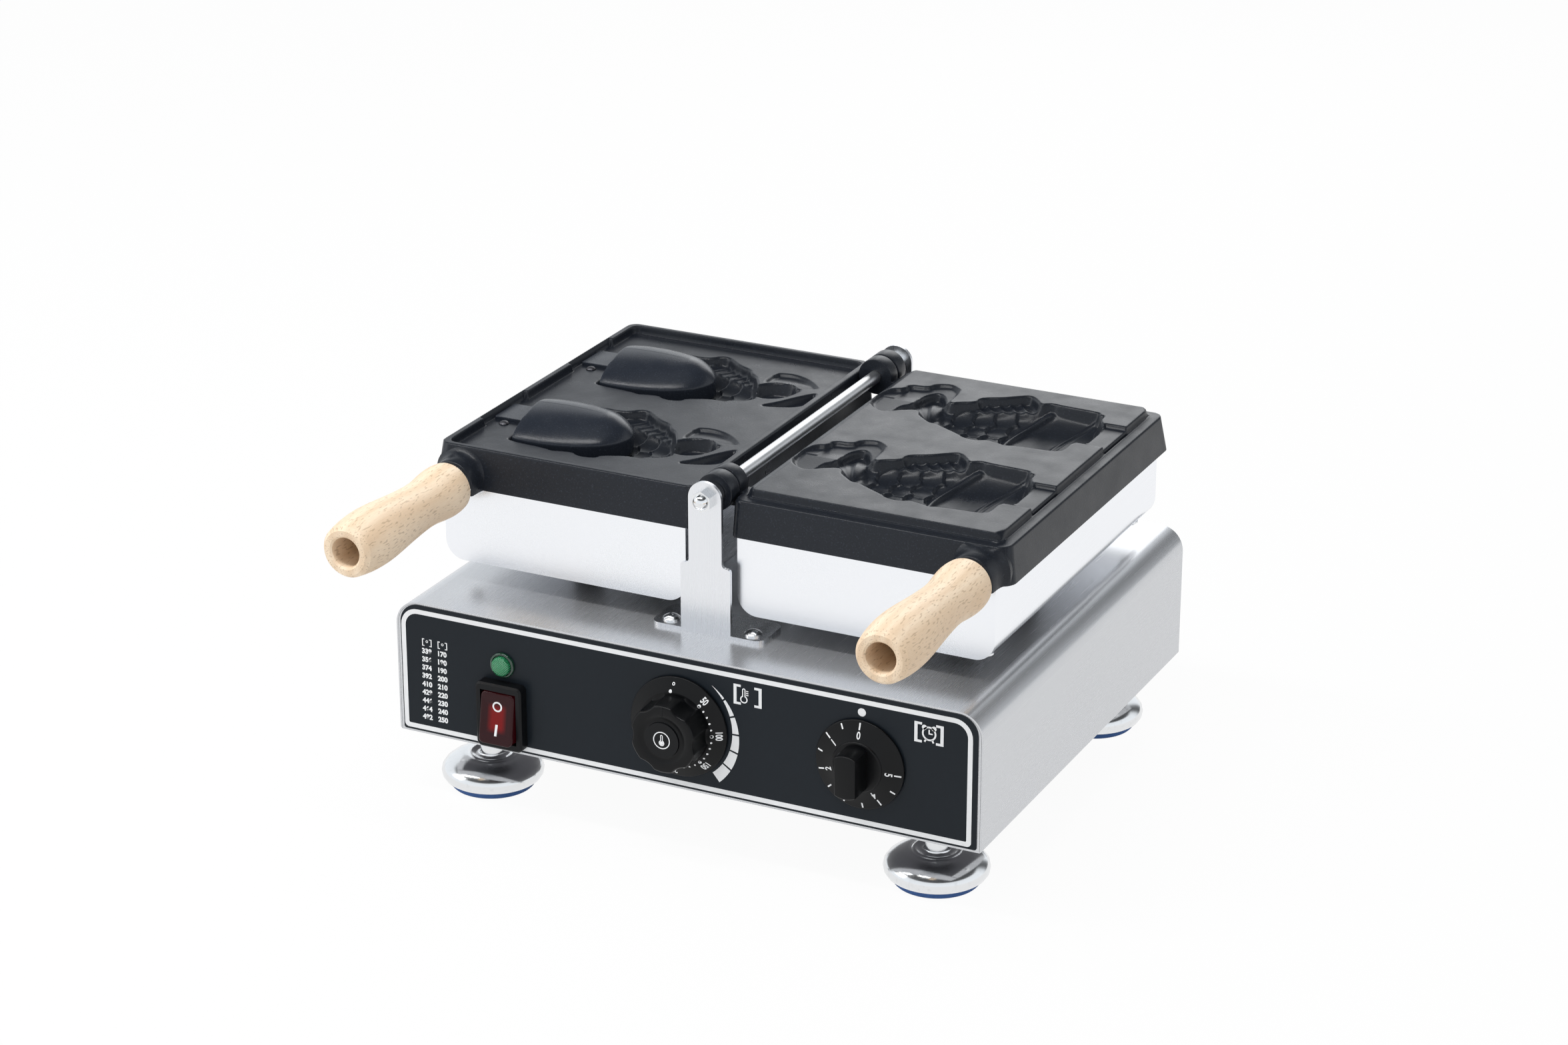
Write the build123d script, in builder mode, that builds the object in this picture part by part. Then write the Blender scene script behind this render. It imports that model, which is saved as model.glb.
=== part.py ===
from build123d import *
from math import atan2, cos, radians, sin
import os

os.makedirs("parts", exist_ok=True)

# A countertop fish-waffle iron. X runs to the right, Y to the back, Z up.
# The origin is on the floor, under the middle of the whole machine. All sizes are in millimetres.

# ---- housing -------------------------------------------------------------------------------------
base_width = 335.0
base_depth = 273.5
base_height = 74.7
sheet = 1.0                    # cover, pans
panel_sheet = 1.2              # front, rear and bottom plates
cover_bend = 13.5              # outside radius of the cover's two long bends
panel_gap = 0.15               # between a plate and the cover around it
lip = 12.0                     # flanges turned in along the underside
bottom_corner = 1.5
label_thickness = 0.4
label_margin = 2.6
label_edge = 1.3
vent_width = 4.0
vent_length = 32.0
vent_pitch = 9.0
vent_count = 14
vent_x = -40.0
bottom_screw_radius = 1.5
bottom_head_radius = 3.2
small_head_height = 1.8        # heads of the bottom's and the mouth cores' screws

# ---- feet ----------------------------------------------------------------------------------------
foot_height = 36.5
foot_side_inset = 37.5         # foot centre in from either side
foot_inset = 31.0              # foot centre behind the front face, and before the rear face
pad_radius = 22.5
pad_thickness = 2.8
bell_radius = 26.6
bell_waist_height = 7.0        # where the bell is widest
bell_ring_height = 16.5
bell_ring_radius = 12.5
neck_radius = 6.5
stud_radius = 4.0
thread_clearance = 0.05
nut_height = 6.5
nut_across_flats = 13.0

# ---- hinge ---------------------------------------------------------------------------------------
hinge_rise = 74.5              # axis above the housing's top
hinge_middle = 145.3           # middle of the hinge behind the front face
rod_radius = 3.5
rod_end_radius = 3.0
running_clearance = 0.05
knuckle_radius = 10.0
outer_knuckle = 9.2            # length of the left half's knuckles
inner_knuckle = 8.4            # length of the right half's knuckles
knuckle_gap = 1.4
washer_thickness = 1.0
knuckle_margin = 1.0           # outer knuckles' ends inside the ends of the moulds
spacer_radius = 6.0

bracket_sheet = 2.0
bracket_stand_off = 10.7       # outer knuckles' ends to the outer face of a bracket
bracket_neck = 9.4             # half width around the rod
bracket_foot = 14.2            # half width of the lower stretch
bracket_shoulder = 38.5        # height of the lower stretch above the housing
bracket_flange_x = 32.0
bracket_flange_y = 26.0
bracket_screw_x = 23.5
bracket_screw_y = 7.5          # inward from the outer face of the bracket
bracket_screw_radius = 2.2
screw_head_radius = 4.6
screw_head_height = 2.8
cap_nut_flats = 10.0
cap_nut_length = 8.0
cap_nut_dome = 4.3

# ---- moulds --------------------------------------------------------------------------------------
parting_gap = 0.4              # between the closed halves
plate_rise = 3.0               # right half's raised plate above the hinge axis
rim_rise = 1.1                 # left half's rim above the hinge axis
mould_drop = 20.7              # mould's underside below the hinge axis
mould_inner = 10.5             # hinge axis to the near wall
mould_outer = 162.0            # hinge axis to the far wall, at the top
mould_length = 214.0
mould_draft = 8.0
mould_corner = 8.0
inner_corner = 5.0
ledge_near = 4.4               # ledge round the raised plate, beside the hinge
ledge_far = 6.0
ledge_end = 6.2
rim_near = 3.8                 # rim round the sunken tray, beside the hinge
rim_far = 3.6
rim_end = 3.55
boss_overlap = 6.0             # how far the handle boss reaches into the casting

# ---- fish cavities, in u outward from the hinge and v across the fish ------------------------------
fish_pitch = 96.0
fish_shift = 1.9               # fish pair behind the hinge middle
head_margin = 11.2             # mouth end to the far edge of the raised plate
jaw_step = 4.3                 # mouth end to the jaw
shoulder_u = 108.0
joint_u = 47.0
tail_end_u = 15.5
head_half_width = 34.0
joint_half_width = 10.0
head_depth = 13.0
joint_depth = 8.0
fluke_depth = 6.5
fan_depth = 2.4
fin_depth = 7.0
mouth_depth = 2.2
mouth_low = -15.5
mouth_high = 17.5
gill_ridge_height = 1.6
gill_ridge_width = 2.4
gill_swing = 13.5              # how far the gill cover's edge curves back towards the tail
lip_ridge_width = 1.4
lip_ridge_setback = 22.0       # middle of the mouth's inner ridge, from the jaw
scale_radius = 7.0
scale_lip = 1.3                # width of the raised line round a scale
scale_rise = 1.0               # its height, and that of the mouth's ridge
scale_pitch_u = 9.8
scale_pitch_v = 10.6
scale_columns = 4
scale_tail_u = 66.5            # middle of the scales nearest the tail
ray_width = 1.7
ray_length = 8.5
ray_rise = 1.3
ray_count = 5
ray_slant = -50.0

# ---- mouth cores ---------------------------------------------------------------------------------
core_rise = 9.0                # above the tray's floor
core_sink = 9.0                # below the tray's floor
core_root_gap = 0.6            # core's mouth end to the jaw of the cavity
core_reach = 66.2              # core's tip from the mouth end
core_low = -29.8
core_high = 27.0
core_edge = 7.5
core_tab_rise = 2.0
core_tab_sink = 2.0
core_gap = 0.2
core_screw_inset = 11.5        # from the far wall's top edge
core_screw_v = -11.8
core_screw_radius = 1.5
core_head_radius = 2.8
core_screw_length = 8.0
core_tab_low = -18.0
core_tab_high = 22.0
core_neck_low = -8.3
core_neck_high = 16.5
core_notch = 1.8               # how far the tab reaches into the outer rim

# ---- pans and heaters ----------------------------------------------------------------------------
pan_near = 4.3                 # pan's near wall inside the casting's
pan_far = 4.8
pan_overhang = 2.7             # pan's ends beyond the casting's top
pan_height = 41.6
pan_bend = 11.0
heater_radius = 3.3
heater_margin_x = 32.0
heater_margin_y = 34.0
strap_width = 14.0
strap_thickness = 2.0
pan_screw_radius = 2.5
pan_screw_inset = 10.0
pan_screw_y = 98.0
pan_screw_grip = 8.0
bumper_radius = 9.0
bumper_gap = 0.25
bumper_inset = 47.2            # inside the pan's far wall
bumper_y = 42.0

# ---- handles -------------------------------------------------------------------------------------
handle_inset = 15.0            # handle axis inside the casting's far wall
handle_drop = 16.6             # handle axis below the hinge axis
handle_overhang = 78.0         # free end in front of the housing
handle_root = 24.3             # inner end behind the front face
handle_washer = 1.2
handle_hole = 8.0
handle_radius = 15.6           # where the grip swells most
handle_end_radius = 11.8
handle_bolt_radius = 3.0
handle_bolt_seat = 68.0        # depth of the open end's counterbore
handle_bolt_grip = 13.0        # thread inside the boss
handle_bolt_head = 4.0
boss_half_width = 12.9
boss_rise = 17.9               # boss top above the mould's underside

# ---- control panel -------------------------------------------------------------------------------
switch_inset = 64.0            # lamp and switch in from the left side
lamp_z = 49.3
lamp_radius = 7.0
switch_low = 3.5
switch_high = 40.2
switch_width = 27.0
switch_rise = 6.5
rocker_width = 20.0
rocker_height = 28.0
rocker_throw = 20.0
rocker_wing = 6.2              # rocker's face in front of its pivot, at either end and in the middle
rocker_waist = 4.2
rocker_back = 5.0
pivot_out = 3.0                # pivot in front of the label
pivot_radius = 1.5
dial_z = 36.0
thermostat_x = 0.0
timer_inset = 65.8             # timer in from the right side
knob_reach = 20.0
skirt_radius = 27.5
grip_radius = 19.0
timer_radius = 24.25
spindle_radius = 3.0
dial_gap = 0.6                 # between a dial and the panel
dial_rim = 1.3                 # thickness of a dial's rim
dial_rise = 5.2                # height of its sloping part
flute_count = 6                # round the temperature dial's grip
flute_radius = 13.25
flute_depth = 2.0
gland_out = 9.0
gland_inset = 47.5             # gland in from the right side
gland_z = 22.0
gland_radius = 10.0
gland_body_radius = 8.0
gland_bore = 3.75
cap_radius = 9.5
timer_grip_radius = 11.8
timer_bar_width = 11.5
timer_step_radius = 13.5

# ---- inside the housing --------------------------------------------------------------------------
thermostat_width = 38.0
thermostat_height = 34.0
thermostat_depth = 24.0
timer_motor_size = 46.0
timer_motor_depth = 30.0
terminal_size = (48.0, 22.0, 18.0)
terminal_inset = 60.0          # inward from the gland, and before the rear face

# ---- places worked out from the sizes ------------------------------------------------------------
foot_x = base_width / 2 - foot_side_inset
switch_x = switch_inset - base_width / 2
timer_x = base_width / 2 - timer_inset
gland_x = base_width / 2 - gland_inset
plate_inner = mould_inner + ledge_near
plate_outer = mould_outer - ledge_far
core_screw_u = mould_outer - core_screw_inset
head_u = plate_outer - head_margin
jaw_u = head_u - jaw_step
plate_length = mould_length - 2 * ledge_end
tray_inner = mould_inner + rim_near
tray_outer = mould_outer - rim_far
tray_length = mould_length - 2 * rim_end
pan_inner = mould_inner + pan_near
pan_outer = mould_outer - pan_far
pan_length = mould_length + 2 * pan_overhang
handle_x = mould_outer - handle_inset
knuckle_reach = mould_length / 2 - knuckle_margin
bracket_reach = knuckle_reach + bracket_stand_off
front_y = -(base_depth + gland_out - handle_overhang) / 2
back_y = front_y + base_depth
base_z = foot_height
base_top = base_z + base_height
axis_z = base_top + hinge_rise
middle_y = front_y + hinge_middle
plate_z = axis_z + plate_rise
rim_z = axis_z + rim_rise
ledge_z = axis_z - rim_rise - parting_gap
tray_z = axis_z - plate_rise - parting_gap
mould_z = axis_z - mould_drop
pan_z = mould_z - pan_height
handle_z = axis_z - handle_drop
handle_end_y = front_y - handle_overhang
boss_y = front_y + handle_root + handle_washer
fish_rows = [middle_y + fish_shift + step * fish_pitch / 2 for step in (-1, 1)]
inner_half_width = base_width / 2 - sheet
front_face = Plane((0, front_y, 0), x_dir=(1, 0, 0), z_dir=(0, -1, 0))
lip_top = base_z + sheet
floor_top = lip_top + panel_sheet
bracket_faces = [middle_y - bracket_reach, middle_y + bracket_reach]
bracket_screws_at = [(x, face_y + inward * bracket_screw_y)
                     for x in (-bracket_screw_x, bracket_screw_x)
                     for face_y, inward in zip(bracket_faces, (1, -1))]
feet_at = [(x, y) for x in (-foot_x, foot_x) for y in (front_y + foot_inset, back_y - foot_inset)]
bottom_screws_at = [(side * (inner_half_width - lip / 2), y)
                    for side in (-1, 1)
                    for y in (front_y + 3 * lip, (front_y + back_y) / 2, back_y - 3 * lip)]


def finish(part, name):
    """Label a finished piece and write it to its own file."""
    part.label = name
    export_step(part, f"parts/{name}.step")


def panel_holes(depth):
    """Cut the control panel's openings through the sheet that starts at the front face."""
    front = front_face.offset(1)
    with BuildSketch(front) as openings:
        with Locations((switch_x, lamp_z + base_z)):
            Circle(lamp_radius - 1)
        with Locations((switch_x, base_z + (switch_low + switch_high) / 2)):
            Rectangle(switch_width - 3, switch_high - switch_low - 3)
        with Locations((thermostat_x, base_z + dial_z), (timer_x, base_z + dial_z)):
            Circle(spindle_radius + 2)
    extrude(openings.sketch, amount=-(depth + 1), mode=Mode.SUBTRACT)


# ---- housing cover: one folded sheet with lips along the underside --------------------------------
with BuildPart() as housing_cover:
    with BuildSketch(Plane.XZ.offset(-front_y)) as cover_profile:
        with Locations((0, base_z + base_height / 2)):
            Rectangle(base_width, base_height)
        fillet(cover_profile.vertices().group_by(Axis.Y)[-1], cover_bend)
        fillet(cover_profile.vertices().group_by(Axis.Y)[0], bottom_corner)
    extrude(amount=-base_depth)
    with BuildSketch(Plane.XZ.offset(-front_y)) as cover_inside:
        with Locations((0, base_z + base_height / 2)):
            Rectangle(base_width - 2 * sheet, base_height - 2 * sheet)
        fillet(cover_inside.vertices().group_by(Axis.Y)[-1], cover_bend - sheet)
    extrude(amount=-base_depth, mode=Mode.SUBTRACT)
    with BuildSketch(Plane.XY.offset(base_z - 1)) as underside_opening:
        with Locations((0, (front_y + back_y) / 2)):
            Rectangle(base_width - 2 * lip, base_depth + 2)
        for side in (-1, 1):
            for end_y in (front_y, back_y):
                with Locations((side * (inner_half_width - lip), end_y)):
                    Rectangle(2 * lip, 2 * (lip + 1))
    extrude(amount=sheet + 1.5, mode=Mode.SUBTRACT)
    with Locations(*[Location((x, y, base_top)) for x, y in bracket_screws_at]):
        Hole(bracket_screw_radius + thread_clearance, depth=2 * sheet)
    with Locations(*[Location((x, y, lip_top)) for x, y in bottom_screws_at]):
        Hole(bottom_screw_radius + thread_clearance, depth=2 * sheet)
finish(housing_cover.part, "housing_cover")


def end_plate_profile(thickness_plane):
    """Sketch the outline that fills either end of the folded cover."""
    with BuildSketch(thickness_plane) as outline:
        with Locations((0, base_z + (base_height - sheet - panel_gap) / 2)):
            Rectangle(2 * (inner_half_width - panel_gap), base_height - sheet - panel_gap)
        fillet(outline.vertices().group_by(Axis.Y)[-1], cover_bend - sheet - panel_gap)
    return outline.sketch


# ---- front plate with its lower flange, and the printed label over it ------------------------------
with BuildPart() as front_plate:
    extrude(end_plate_profile(front_face), amount=-panel_sheet)
    with BuildSketch(Plane.XY.offset(base_z)):
        with Locations((0, front_y + lip / 2)):
            Rectangle(2 * (inner_half_width - panel_gap), lip)
    extrude(amount=sheet)
    panel_holes(panel_sheet + 1)
finish(front_plate.part, "front_plate")

with BuildPart() as control_label:
    with BuildSketch(front_face) as label_outline:
        with Locations((0, base_z + base_height / 2)):
            Rectangle(base_width - 2 * label_margin, base_height - 2 * label_edge)
        fillet(label_outline.vertices().group_by(Axis.Y)[-1], cover_bend - label_margin)
        fillet(label_outline.vertices().group_by(Axis.Y)[0], label_edge)
    extrude(amount=label_thickness)
    panel_holes(panel_sheet)
finish(control_label.part, "control_label")

# ---- rear plate with vent slots and the hole for the cord gland ------------------------------------
with BuildPart() as rear_plate:
    extrude(end_plate_profile(front_face.offset(-base_depth)), amount=panel_sheet)
    with BuildSketch(Plane.XY.offset(base_z)):
        with Locations((0, back_y - lip / 2)):
            Rectangle(2 * (inner_half_width - panel_gap), lip)
    extrude(amount=sheet)
    with BuildSketch(front_face.offset(-base_depth - 1)):
        with Locations((vent_x, base_z + base_height / 2)):
            with GridLocations(vent_pitch, 0, vent_count, 1):
                SlotOverall(vent_length, vent_width, rotation=90)
        with Locations((gland_x, base_z + gland_z)):
            Circle(gland_body_radius + thread_clearance)
    extrude(amount=panel_sheet + 2, mode=Mode.SUBTRACT)
finish(rear_plate.part, "rear_plate")

# ---- bottom plate on top of the lips ---------------------------------------------------------------
with BuildPart() as bottom_plate:
    with BuildSketch(Plane.XY.offset(lip_top)):
        with Locations((0, (front_y + back_y) / 2)):
            Rectangle(2 * (inner_half_width - panel_gap), base_depth - 2 * (panel_sheet + panel_gap))
        with Locations(*feet_at):
            Circle(stud_radius + 6 * thread_clearance, mode=Mode.SUBTRACT)
        with Locations(*bottom_screws_at):
            Circle(bottom_screw_radius + thread_clearance, mode=Mode.SUBTRACT)
        with Locations((0, (front_y + back_y) / 2)):
            with GridLocations(2 * vent_pitch, 2 * vent_length, vent_count // 2, 2):
                SlotOverall(vent_length, vent_width, rotation=90, mode=Mode.SUBTRACT)
    extrude(amount=panel_sheet)
finish(bottom_plate.part, "bottom_plate")


def dome_points(radius, start, height):
    """Three points of a spherical cap's profile, from its rim at start to its crown on the axis."""
    ball = (radius**2 + height**2) / (2 * height)
    half_angle = atan2(radius, ball - height) / 2
    crown = start + height
    return (radius, start), (ball * sin(half_angle), crown - ball * (1 - cos(half_angle))), (0, crown)


def pan_head_screw(shank_radius, length, head_radius, head_height):
    """A round-headed screw standing head up, its head seated on z = 0."""
    rim = head_height / 3
    with BuildPart(mode=Mode.PRIVATE) as screw:
        with BuildSketch(Plane.XZ):
            with BuildLine():
                Polyline((0, head_height), (0, -length), (shank_radius, -length), (shank_radius, 0),
                         (head_radius, 0), (head_radius, rim))
                ThreePointArc(*dome_points(head_radius, rim, head_height - rim))
            make_face()
        revolve(axis=Axis.Z)
    return screw.part


bottom_screw = pan_head_screw(bottom_screw_radius, sheet + panel_sheet + 3,
                              bottom_head_radius, small_head_height)
with BuildPart() as bottom_screws:
    with Locations(*[Location((x, y, base_z), (180, 0, 0)) for x, y in bottom_screws_at]):
        add(bottom_screw)
finish(bottom_screws.part, "bottom_screws")

# ---- four levelling feet ---------------------------------------------------------------------------
foot_names = ["front_left", "rear_left", "front_right", "rear_right"]
neck_top = lip_top - panel_gap
stud_seat = bell_ring_height + 2
for name, (x, y) in zip(foot_names, feet_at):
    with BuildPart() as foot_pad:
        with Locations((x, y, 0)):
            Cylinder(pad_radius, pad_thickness, align=(Align.CENTER, Align.CENTER, Align.MIN))
        chamfer(foot_pad.edges().group_by(Axis.Z)[0], 0.6)
    finish(foot_pad.part, f"{name}_foot_pad")

    with BuildPart() as foot_bell:
        with BuildSketch(Plane((x, y, 0), x_dir=(1, 0, 0), z_dir=(0, -1, 0))):
            with BuildLine():
                Polyline((0, pad_thickness), (pad_radius - 0.2, pad_thickness))
                Spline((pad_radius - 0.2, pad_thickness), (bell_radius, bell_waist_height),
                       (bell_radius * 0.75, bell_ring_height * 0.86), (bell_ring_radius, bell_ring_height),
                       tangents=[(1, 0.4), (-1, 0.25)])
                Polyline((bell_ring_radius, bell_ring_height), (bell_ring_radius, bell_ring_height + 1),
                         (neck_radius, bell_ring_height + 1), (neck_radius, neck_top),
                         (stud_radius + thread_clearance, neck_top),
                         (stud_radius + thread_clearance, stud_seat), (0, stud_seat), (0, pad_thickness))
            make_face()
        revolve(axis=Axis((x, y, 0), (0, 0, 1)))
    finish(foot_bell.part, f"{name}_foot_bell")

    with BuildPart() as foot_stud:
        with Locations((x, y, stud_seat)):
            Cylinder(stud_radius, floor_top + nut_height + 3 - stud_seat,
                     align=(Align.CENTER, Align.CENTER, Align.MIN))
        chamfer(foot_stud.edges().group_by(Axis.Z)[-1], 0.8)
    finish(foot_stud.part, f"{name}_foot_stud")

with BuildPart() as foot_nuts:
    with BuildSketch(Plane.XY.offset(floor_top)):
        with Locations(*feet_at):
            RegularPolygon(nut_across_flats / 2, 6, major_radius=False)
            Circle(stud_radius + thread_clearance, mode=Mode.SUBTRACT)
    extrude(amount=nut_height)
finish(foot_nuts.part, "foot_nuts")

# ---- hinge brackets, rod, nuts, washers and spacers --------------------------------------------------
for name, face_y, inward in zip(("front_bracket", "rear_bracket"), bracket_faces, (1, -1)):
    with BuildPart() as bracket:
        with BuildSketch(Plane((0, face_y, 0), x_dir=(inward, 0, 0), z_dir=(0, -inward, 0))) as upright:
            with Locations((0, base_top + bracket_shoulder / 2)):
                Rectangle(2 * bracket_foot, bracket_shoulder)
            with Locations((0, (base_top + axis_z) / 2)):
                Rectangle(2 * bracket_neck, axis_z - base_top)
            with Locations((0, axis_z)):
                Circle(bracket_neck)
            fillet([v for v in upright.vertices() if abs(v.Y - base_top - bracket_shoulder) < 0.01],
                   (bracket_foot - bracket_neck) * 0.45)
            with Locations((0, axis_z)):
                Circle(rod_end_radius + running_clearance, mode=Mode.SUBTRACT)
        extrude(amount=-bracket_sheet)
        with BuildSketch(Plane.XY.offset(base_top)) as flange:
            with Locations((0, face_y + inward * bracket_flange_y / 2)):
                Rectangle(2 * bracket_flange_x, bracket_flange_y)
            fillet(flange.vertices(), 5)
            with Locations(*[(x, y) for x, y in bracket_screws_at if abs(y - face_y) < bracket_reach]):
                Circle(bracket_screw_radius + thread_clearance, mode=Mode.SUBTRACT)
        extrude(amount=bracket_sheet)
    finish(bracket.part, name)

bracket_screw = pan_head_screw(bracket_screw_radius, bracket_sheet + 6,
                               screw_head_radius, screw_head_height)
with BuildPart() as bracket_screws:
    with Locations(*[Location((x, y, base_top + bracket_sheet)) for x, y in bracket_screws_at]):
        add(bracket_screw)
finish(bracket_screws.part, "bracket_screws")

rod_shoulder = bracket_reach - bracket_sheet - 0.1
rod_end = bracket_reach + cap_nut_length - 3
with BuildPart() as hinge_rod:
    with BuildSketch(Plane((0, middle_y, axis_z), x_dir=(0, 1, 0), z_dir=(1, 0, 0))):
        with BuildLine():
            Polyline((-rod_end, 0), (-rod_end, rod_end_radius), (-rod_shoulder, rod_end_radius),
                     (-rod_shoulder, rod_radius), (rod_shoulder, rod_radius),
                     (rod_shoulder, rod_end_radius), (rod_end, rod_end_radius), (rod_end, 0), close=True)
        make_face()
    revolve(axis=Axis((0, middle_y, axis_z), (0, 1, 0)))
finish(hinge_rod.part, "hinge_rod")

with BuildPart() as cap_nuts:
    for face_y, inward in zip(bracket_faces, (1, -1)):
        outside = Plane((0, face_y, axis_z), x_dir=(inward, 0, 0), z_dir=(0, -inward, 0))
        with BuildSketch(outside):
            RegularPolygon(cap_nut_flats / 2, 6, major_radius=False, rotation=90)
        extrude(amount=cap_nut_length * 0.55)
        with Locations((0, face_y - inward * (cap_nut_length - cap_nut_dome), axis_z)):
            Sphere(cap_nut_dome)
        with BuildSketch(outside):
            Circle(cap_nut_flats)
        extrude(amount=-cap_nut_length, mode=Mode.SUBTRACT)
        with BuildSketch(outside.offset(-1)):
            Circle(rod_end_radius + running_clearance)
        extrude(amount=cap_nut_length - 2, mode=Mode.SUBTRACT)
finish(cap_nuts.part, "cap_nuts")


def across_rod(step, reach):
    """A plane square to the rod, at a distance from its middle, facing back to the middle."""
    return Plane((0, middle_y + step * reach, axis_z), x_dir=(1, 0, 0), z_dir=(0, -step, 0))


outer_knuckle_face = knuckle_reach - outer_knuckle
inner_knuckle_end = outer_knuckle_face - knuckle_gap
with BuildPart() as hinge_washers:
    for step in (-1, 1):
        washer_face = outer_knuckle_face - (knuckle_gap - washer_thickness) / 2
        with BuildSketch(across_rod(step, washer_face)):
            Circle(knuckle_radius - 0.8)
            Circle(rod_radius + running_clearance, mode=Mode.SUBTRACT)
        extrude(amount=washer_thickness)
finish(hinge_washers.part, "hinge_washers")

with BuildPart() as hinge_spacers:
    for step in (-1, 1):
        spacer_face = bracket_reach - bracket_sheet
        with BuildSketch(across_rod(step, spacer_face)):
            Circle(spacer_radius)
            Circle(rod_radius + running_clearance, mode=Mode.SUBTRACT)
        extrude(amount=spacer_face - knuckle_reach - knuckle_gap / 4)
finish(hinge_spacers.part, "hinge_spacers")

# ---- moulds: one casting per half, drawn on the right and mirrored for the left ---------------------


def rounded_block(x_near, x_far, length, top, drop, draft):
    """Sketch the plan of a casting at the top and at drop below it, its outer walls spreading by draft."""
    spread = drop * sin(radians(draft)) / cos(radians(draft))
    with BuildSketch(Plane.XY.offset(top)) as plan:
        with Locations(((x_near + x_far) / 2, middle_y)):
            Rectangle(x_far - x_near, length)
        fillet(plan.vertices().group_by(Axis.X)[-1], mould_corner)
        fillet(plan.vertices().group_by(Axis.X)[0], inner_corner)
    with BuildSketch(Plane.XY.offset(top - drop)) as foot:
        with Locations(((x_near + x_far + spread) / 2, middle_y)):
            Rectangle(x_far - x_near + spread, length + 2 * spread)
        fillet(foot.vertices().group_by(Axis.X)[-1], mould_corner)
        fillet(foot.vertices().group_by(Axis.X)[0], inner_corner)
    return [foot.sketch, plan.sketch]


def flat_plan(x_near, x_far, length, height, corner):
    """Sketch a rounded rectangle at one height: the raised plate, or the tray's floor."""
    with BuildSketch(Plane.XY.offset(height)) as plan:
        with Locations(((x_near + x_far) / 2, middle_y)):
            RectangleRounded(x_far - x_near, length, corner)
    return plan.sketch


def knuckle_profile():
    """Sketch a hinge knuckle and the arm that carries it, seen along the rod."""
    with BuildSketch(Plane((0, 0, axis_z), x_dir=(1, 0, 0), z_dir=(0, -1, 0))) as profile:
        Circle(knuckle_radius)
        with Locations(((mould_inner + 2) / 2, (-knuckle_radius - rim_rise - parting_gap) / 2)):
            Rectangle(mould_inner + 2, knuckle_radius - rim_rise - parting_gap)
    return profile.sketch


def add_knuckles(near, length):
    """Add the two knuckles that start near the hinge's middle at near, and bore them for the rod."""
    for step in (-1, 1):
        centre = middle_y + step * (near + length / 2)
        extrude(knuckle_profile().moved(Location((0, centre + length / 2, 0))), amount=length)
    with Locations(Location((0, middle_y, axis_z), (90, 0, 0))):
        Cylinder(rod_radius + running_clearance, mould_length + 10, mode=Mode.SUBTRACT)


def add_handle_boss():
    """Add the round-topped boss in front, with the tapped hole for the handle's bolt."""
    root_y = middle_y - mould_length / 2 + boss_overlap
    with BuildSketch(Plane((handle_x, boss_y, mould_z), x_dir=(1, 0, 0), z_dir=(0, -1, 0))) as boss:
        with Locations((0, boss_rise - boss_half_width)):
            Circle(boss_half_width)
        with Locations((0, (boss_rise - boss_half_width) / 2)):
            Rectangle(2 * boss_half_width, boss_rise - boss_half_width)
        with BuildSketch(Plane.XY, mode=Mode.INTERSECT):
            with Locations((0, boss_rise / 2)):
                Rectangle(2 * boss_half_width, boss_rise)
    extrude(boss.sketch, amount=boss_y - root_y)
    with Locations(Location((handle_x, boss_y, handle_z), (90, 0, 0))):
        Hole(handle_bolt_radius + thread_clearance, depth=handle_bolt_grip + 1)


def pan_screw_seats():
    """Where the pan's screws stand under the right half."""
    return [(x, middle_y + step * pan_screw_y)
            for x in (pan_inner + pan_screw_inset, pan_outer - pan_screw_inset) for step in (-1, 1)]


def drill_pan_screws():
    """Drill the casting's blind holes for the pan's screws."""
    with Locations(*[Location((x, y, mould_z), (180, 0, 0)) for x, y in pan_screw_seats()]):
        Hole(pan_screw_radius + thread_clearance, depth=pan_screw_grip + 1)


# ---- fish cavity, as the solid that fills it: z = 0 is the parting face ------------------------------
def fish_points(*shares):
    """Points of the fish, as shares of its reach from the hinge and of half its girth."""
    return [(head_u * along, head_half_width * across) for along, across in shares]


def trough(side_gap, floor_gap):
    """Sketch the round-bottomed sections of the fish's belly, at the tail joint and at the mouth."""
    sections = []
    for u, half_width, depth in ((joint_u - 6, joint_half_width, joint_depth),
                                 (shoulder_u, head_half_width, head_depth),
                                 (head_u + 2, head_half_width, head_depth)):
        with BuildSketch(Plane.YZ.offset(u)) as section:
            with Locations((0, (1 - depth + floor_gap) / 2)):
                Rectangle(2 * (half_width - side_gap), depth - floor_gap + 1)
            fillet(section.vertices().group_by(Axis.Y)[0], 0.8 * depth - floor_gap)
        sections.append(section.sketch)
    return sections


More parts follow.
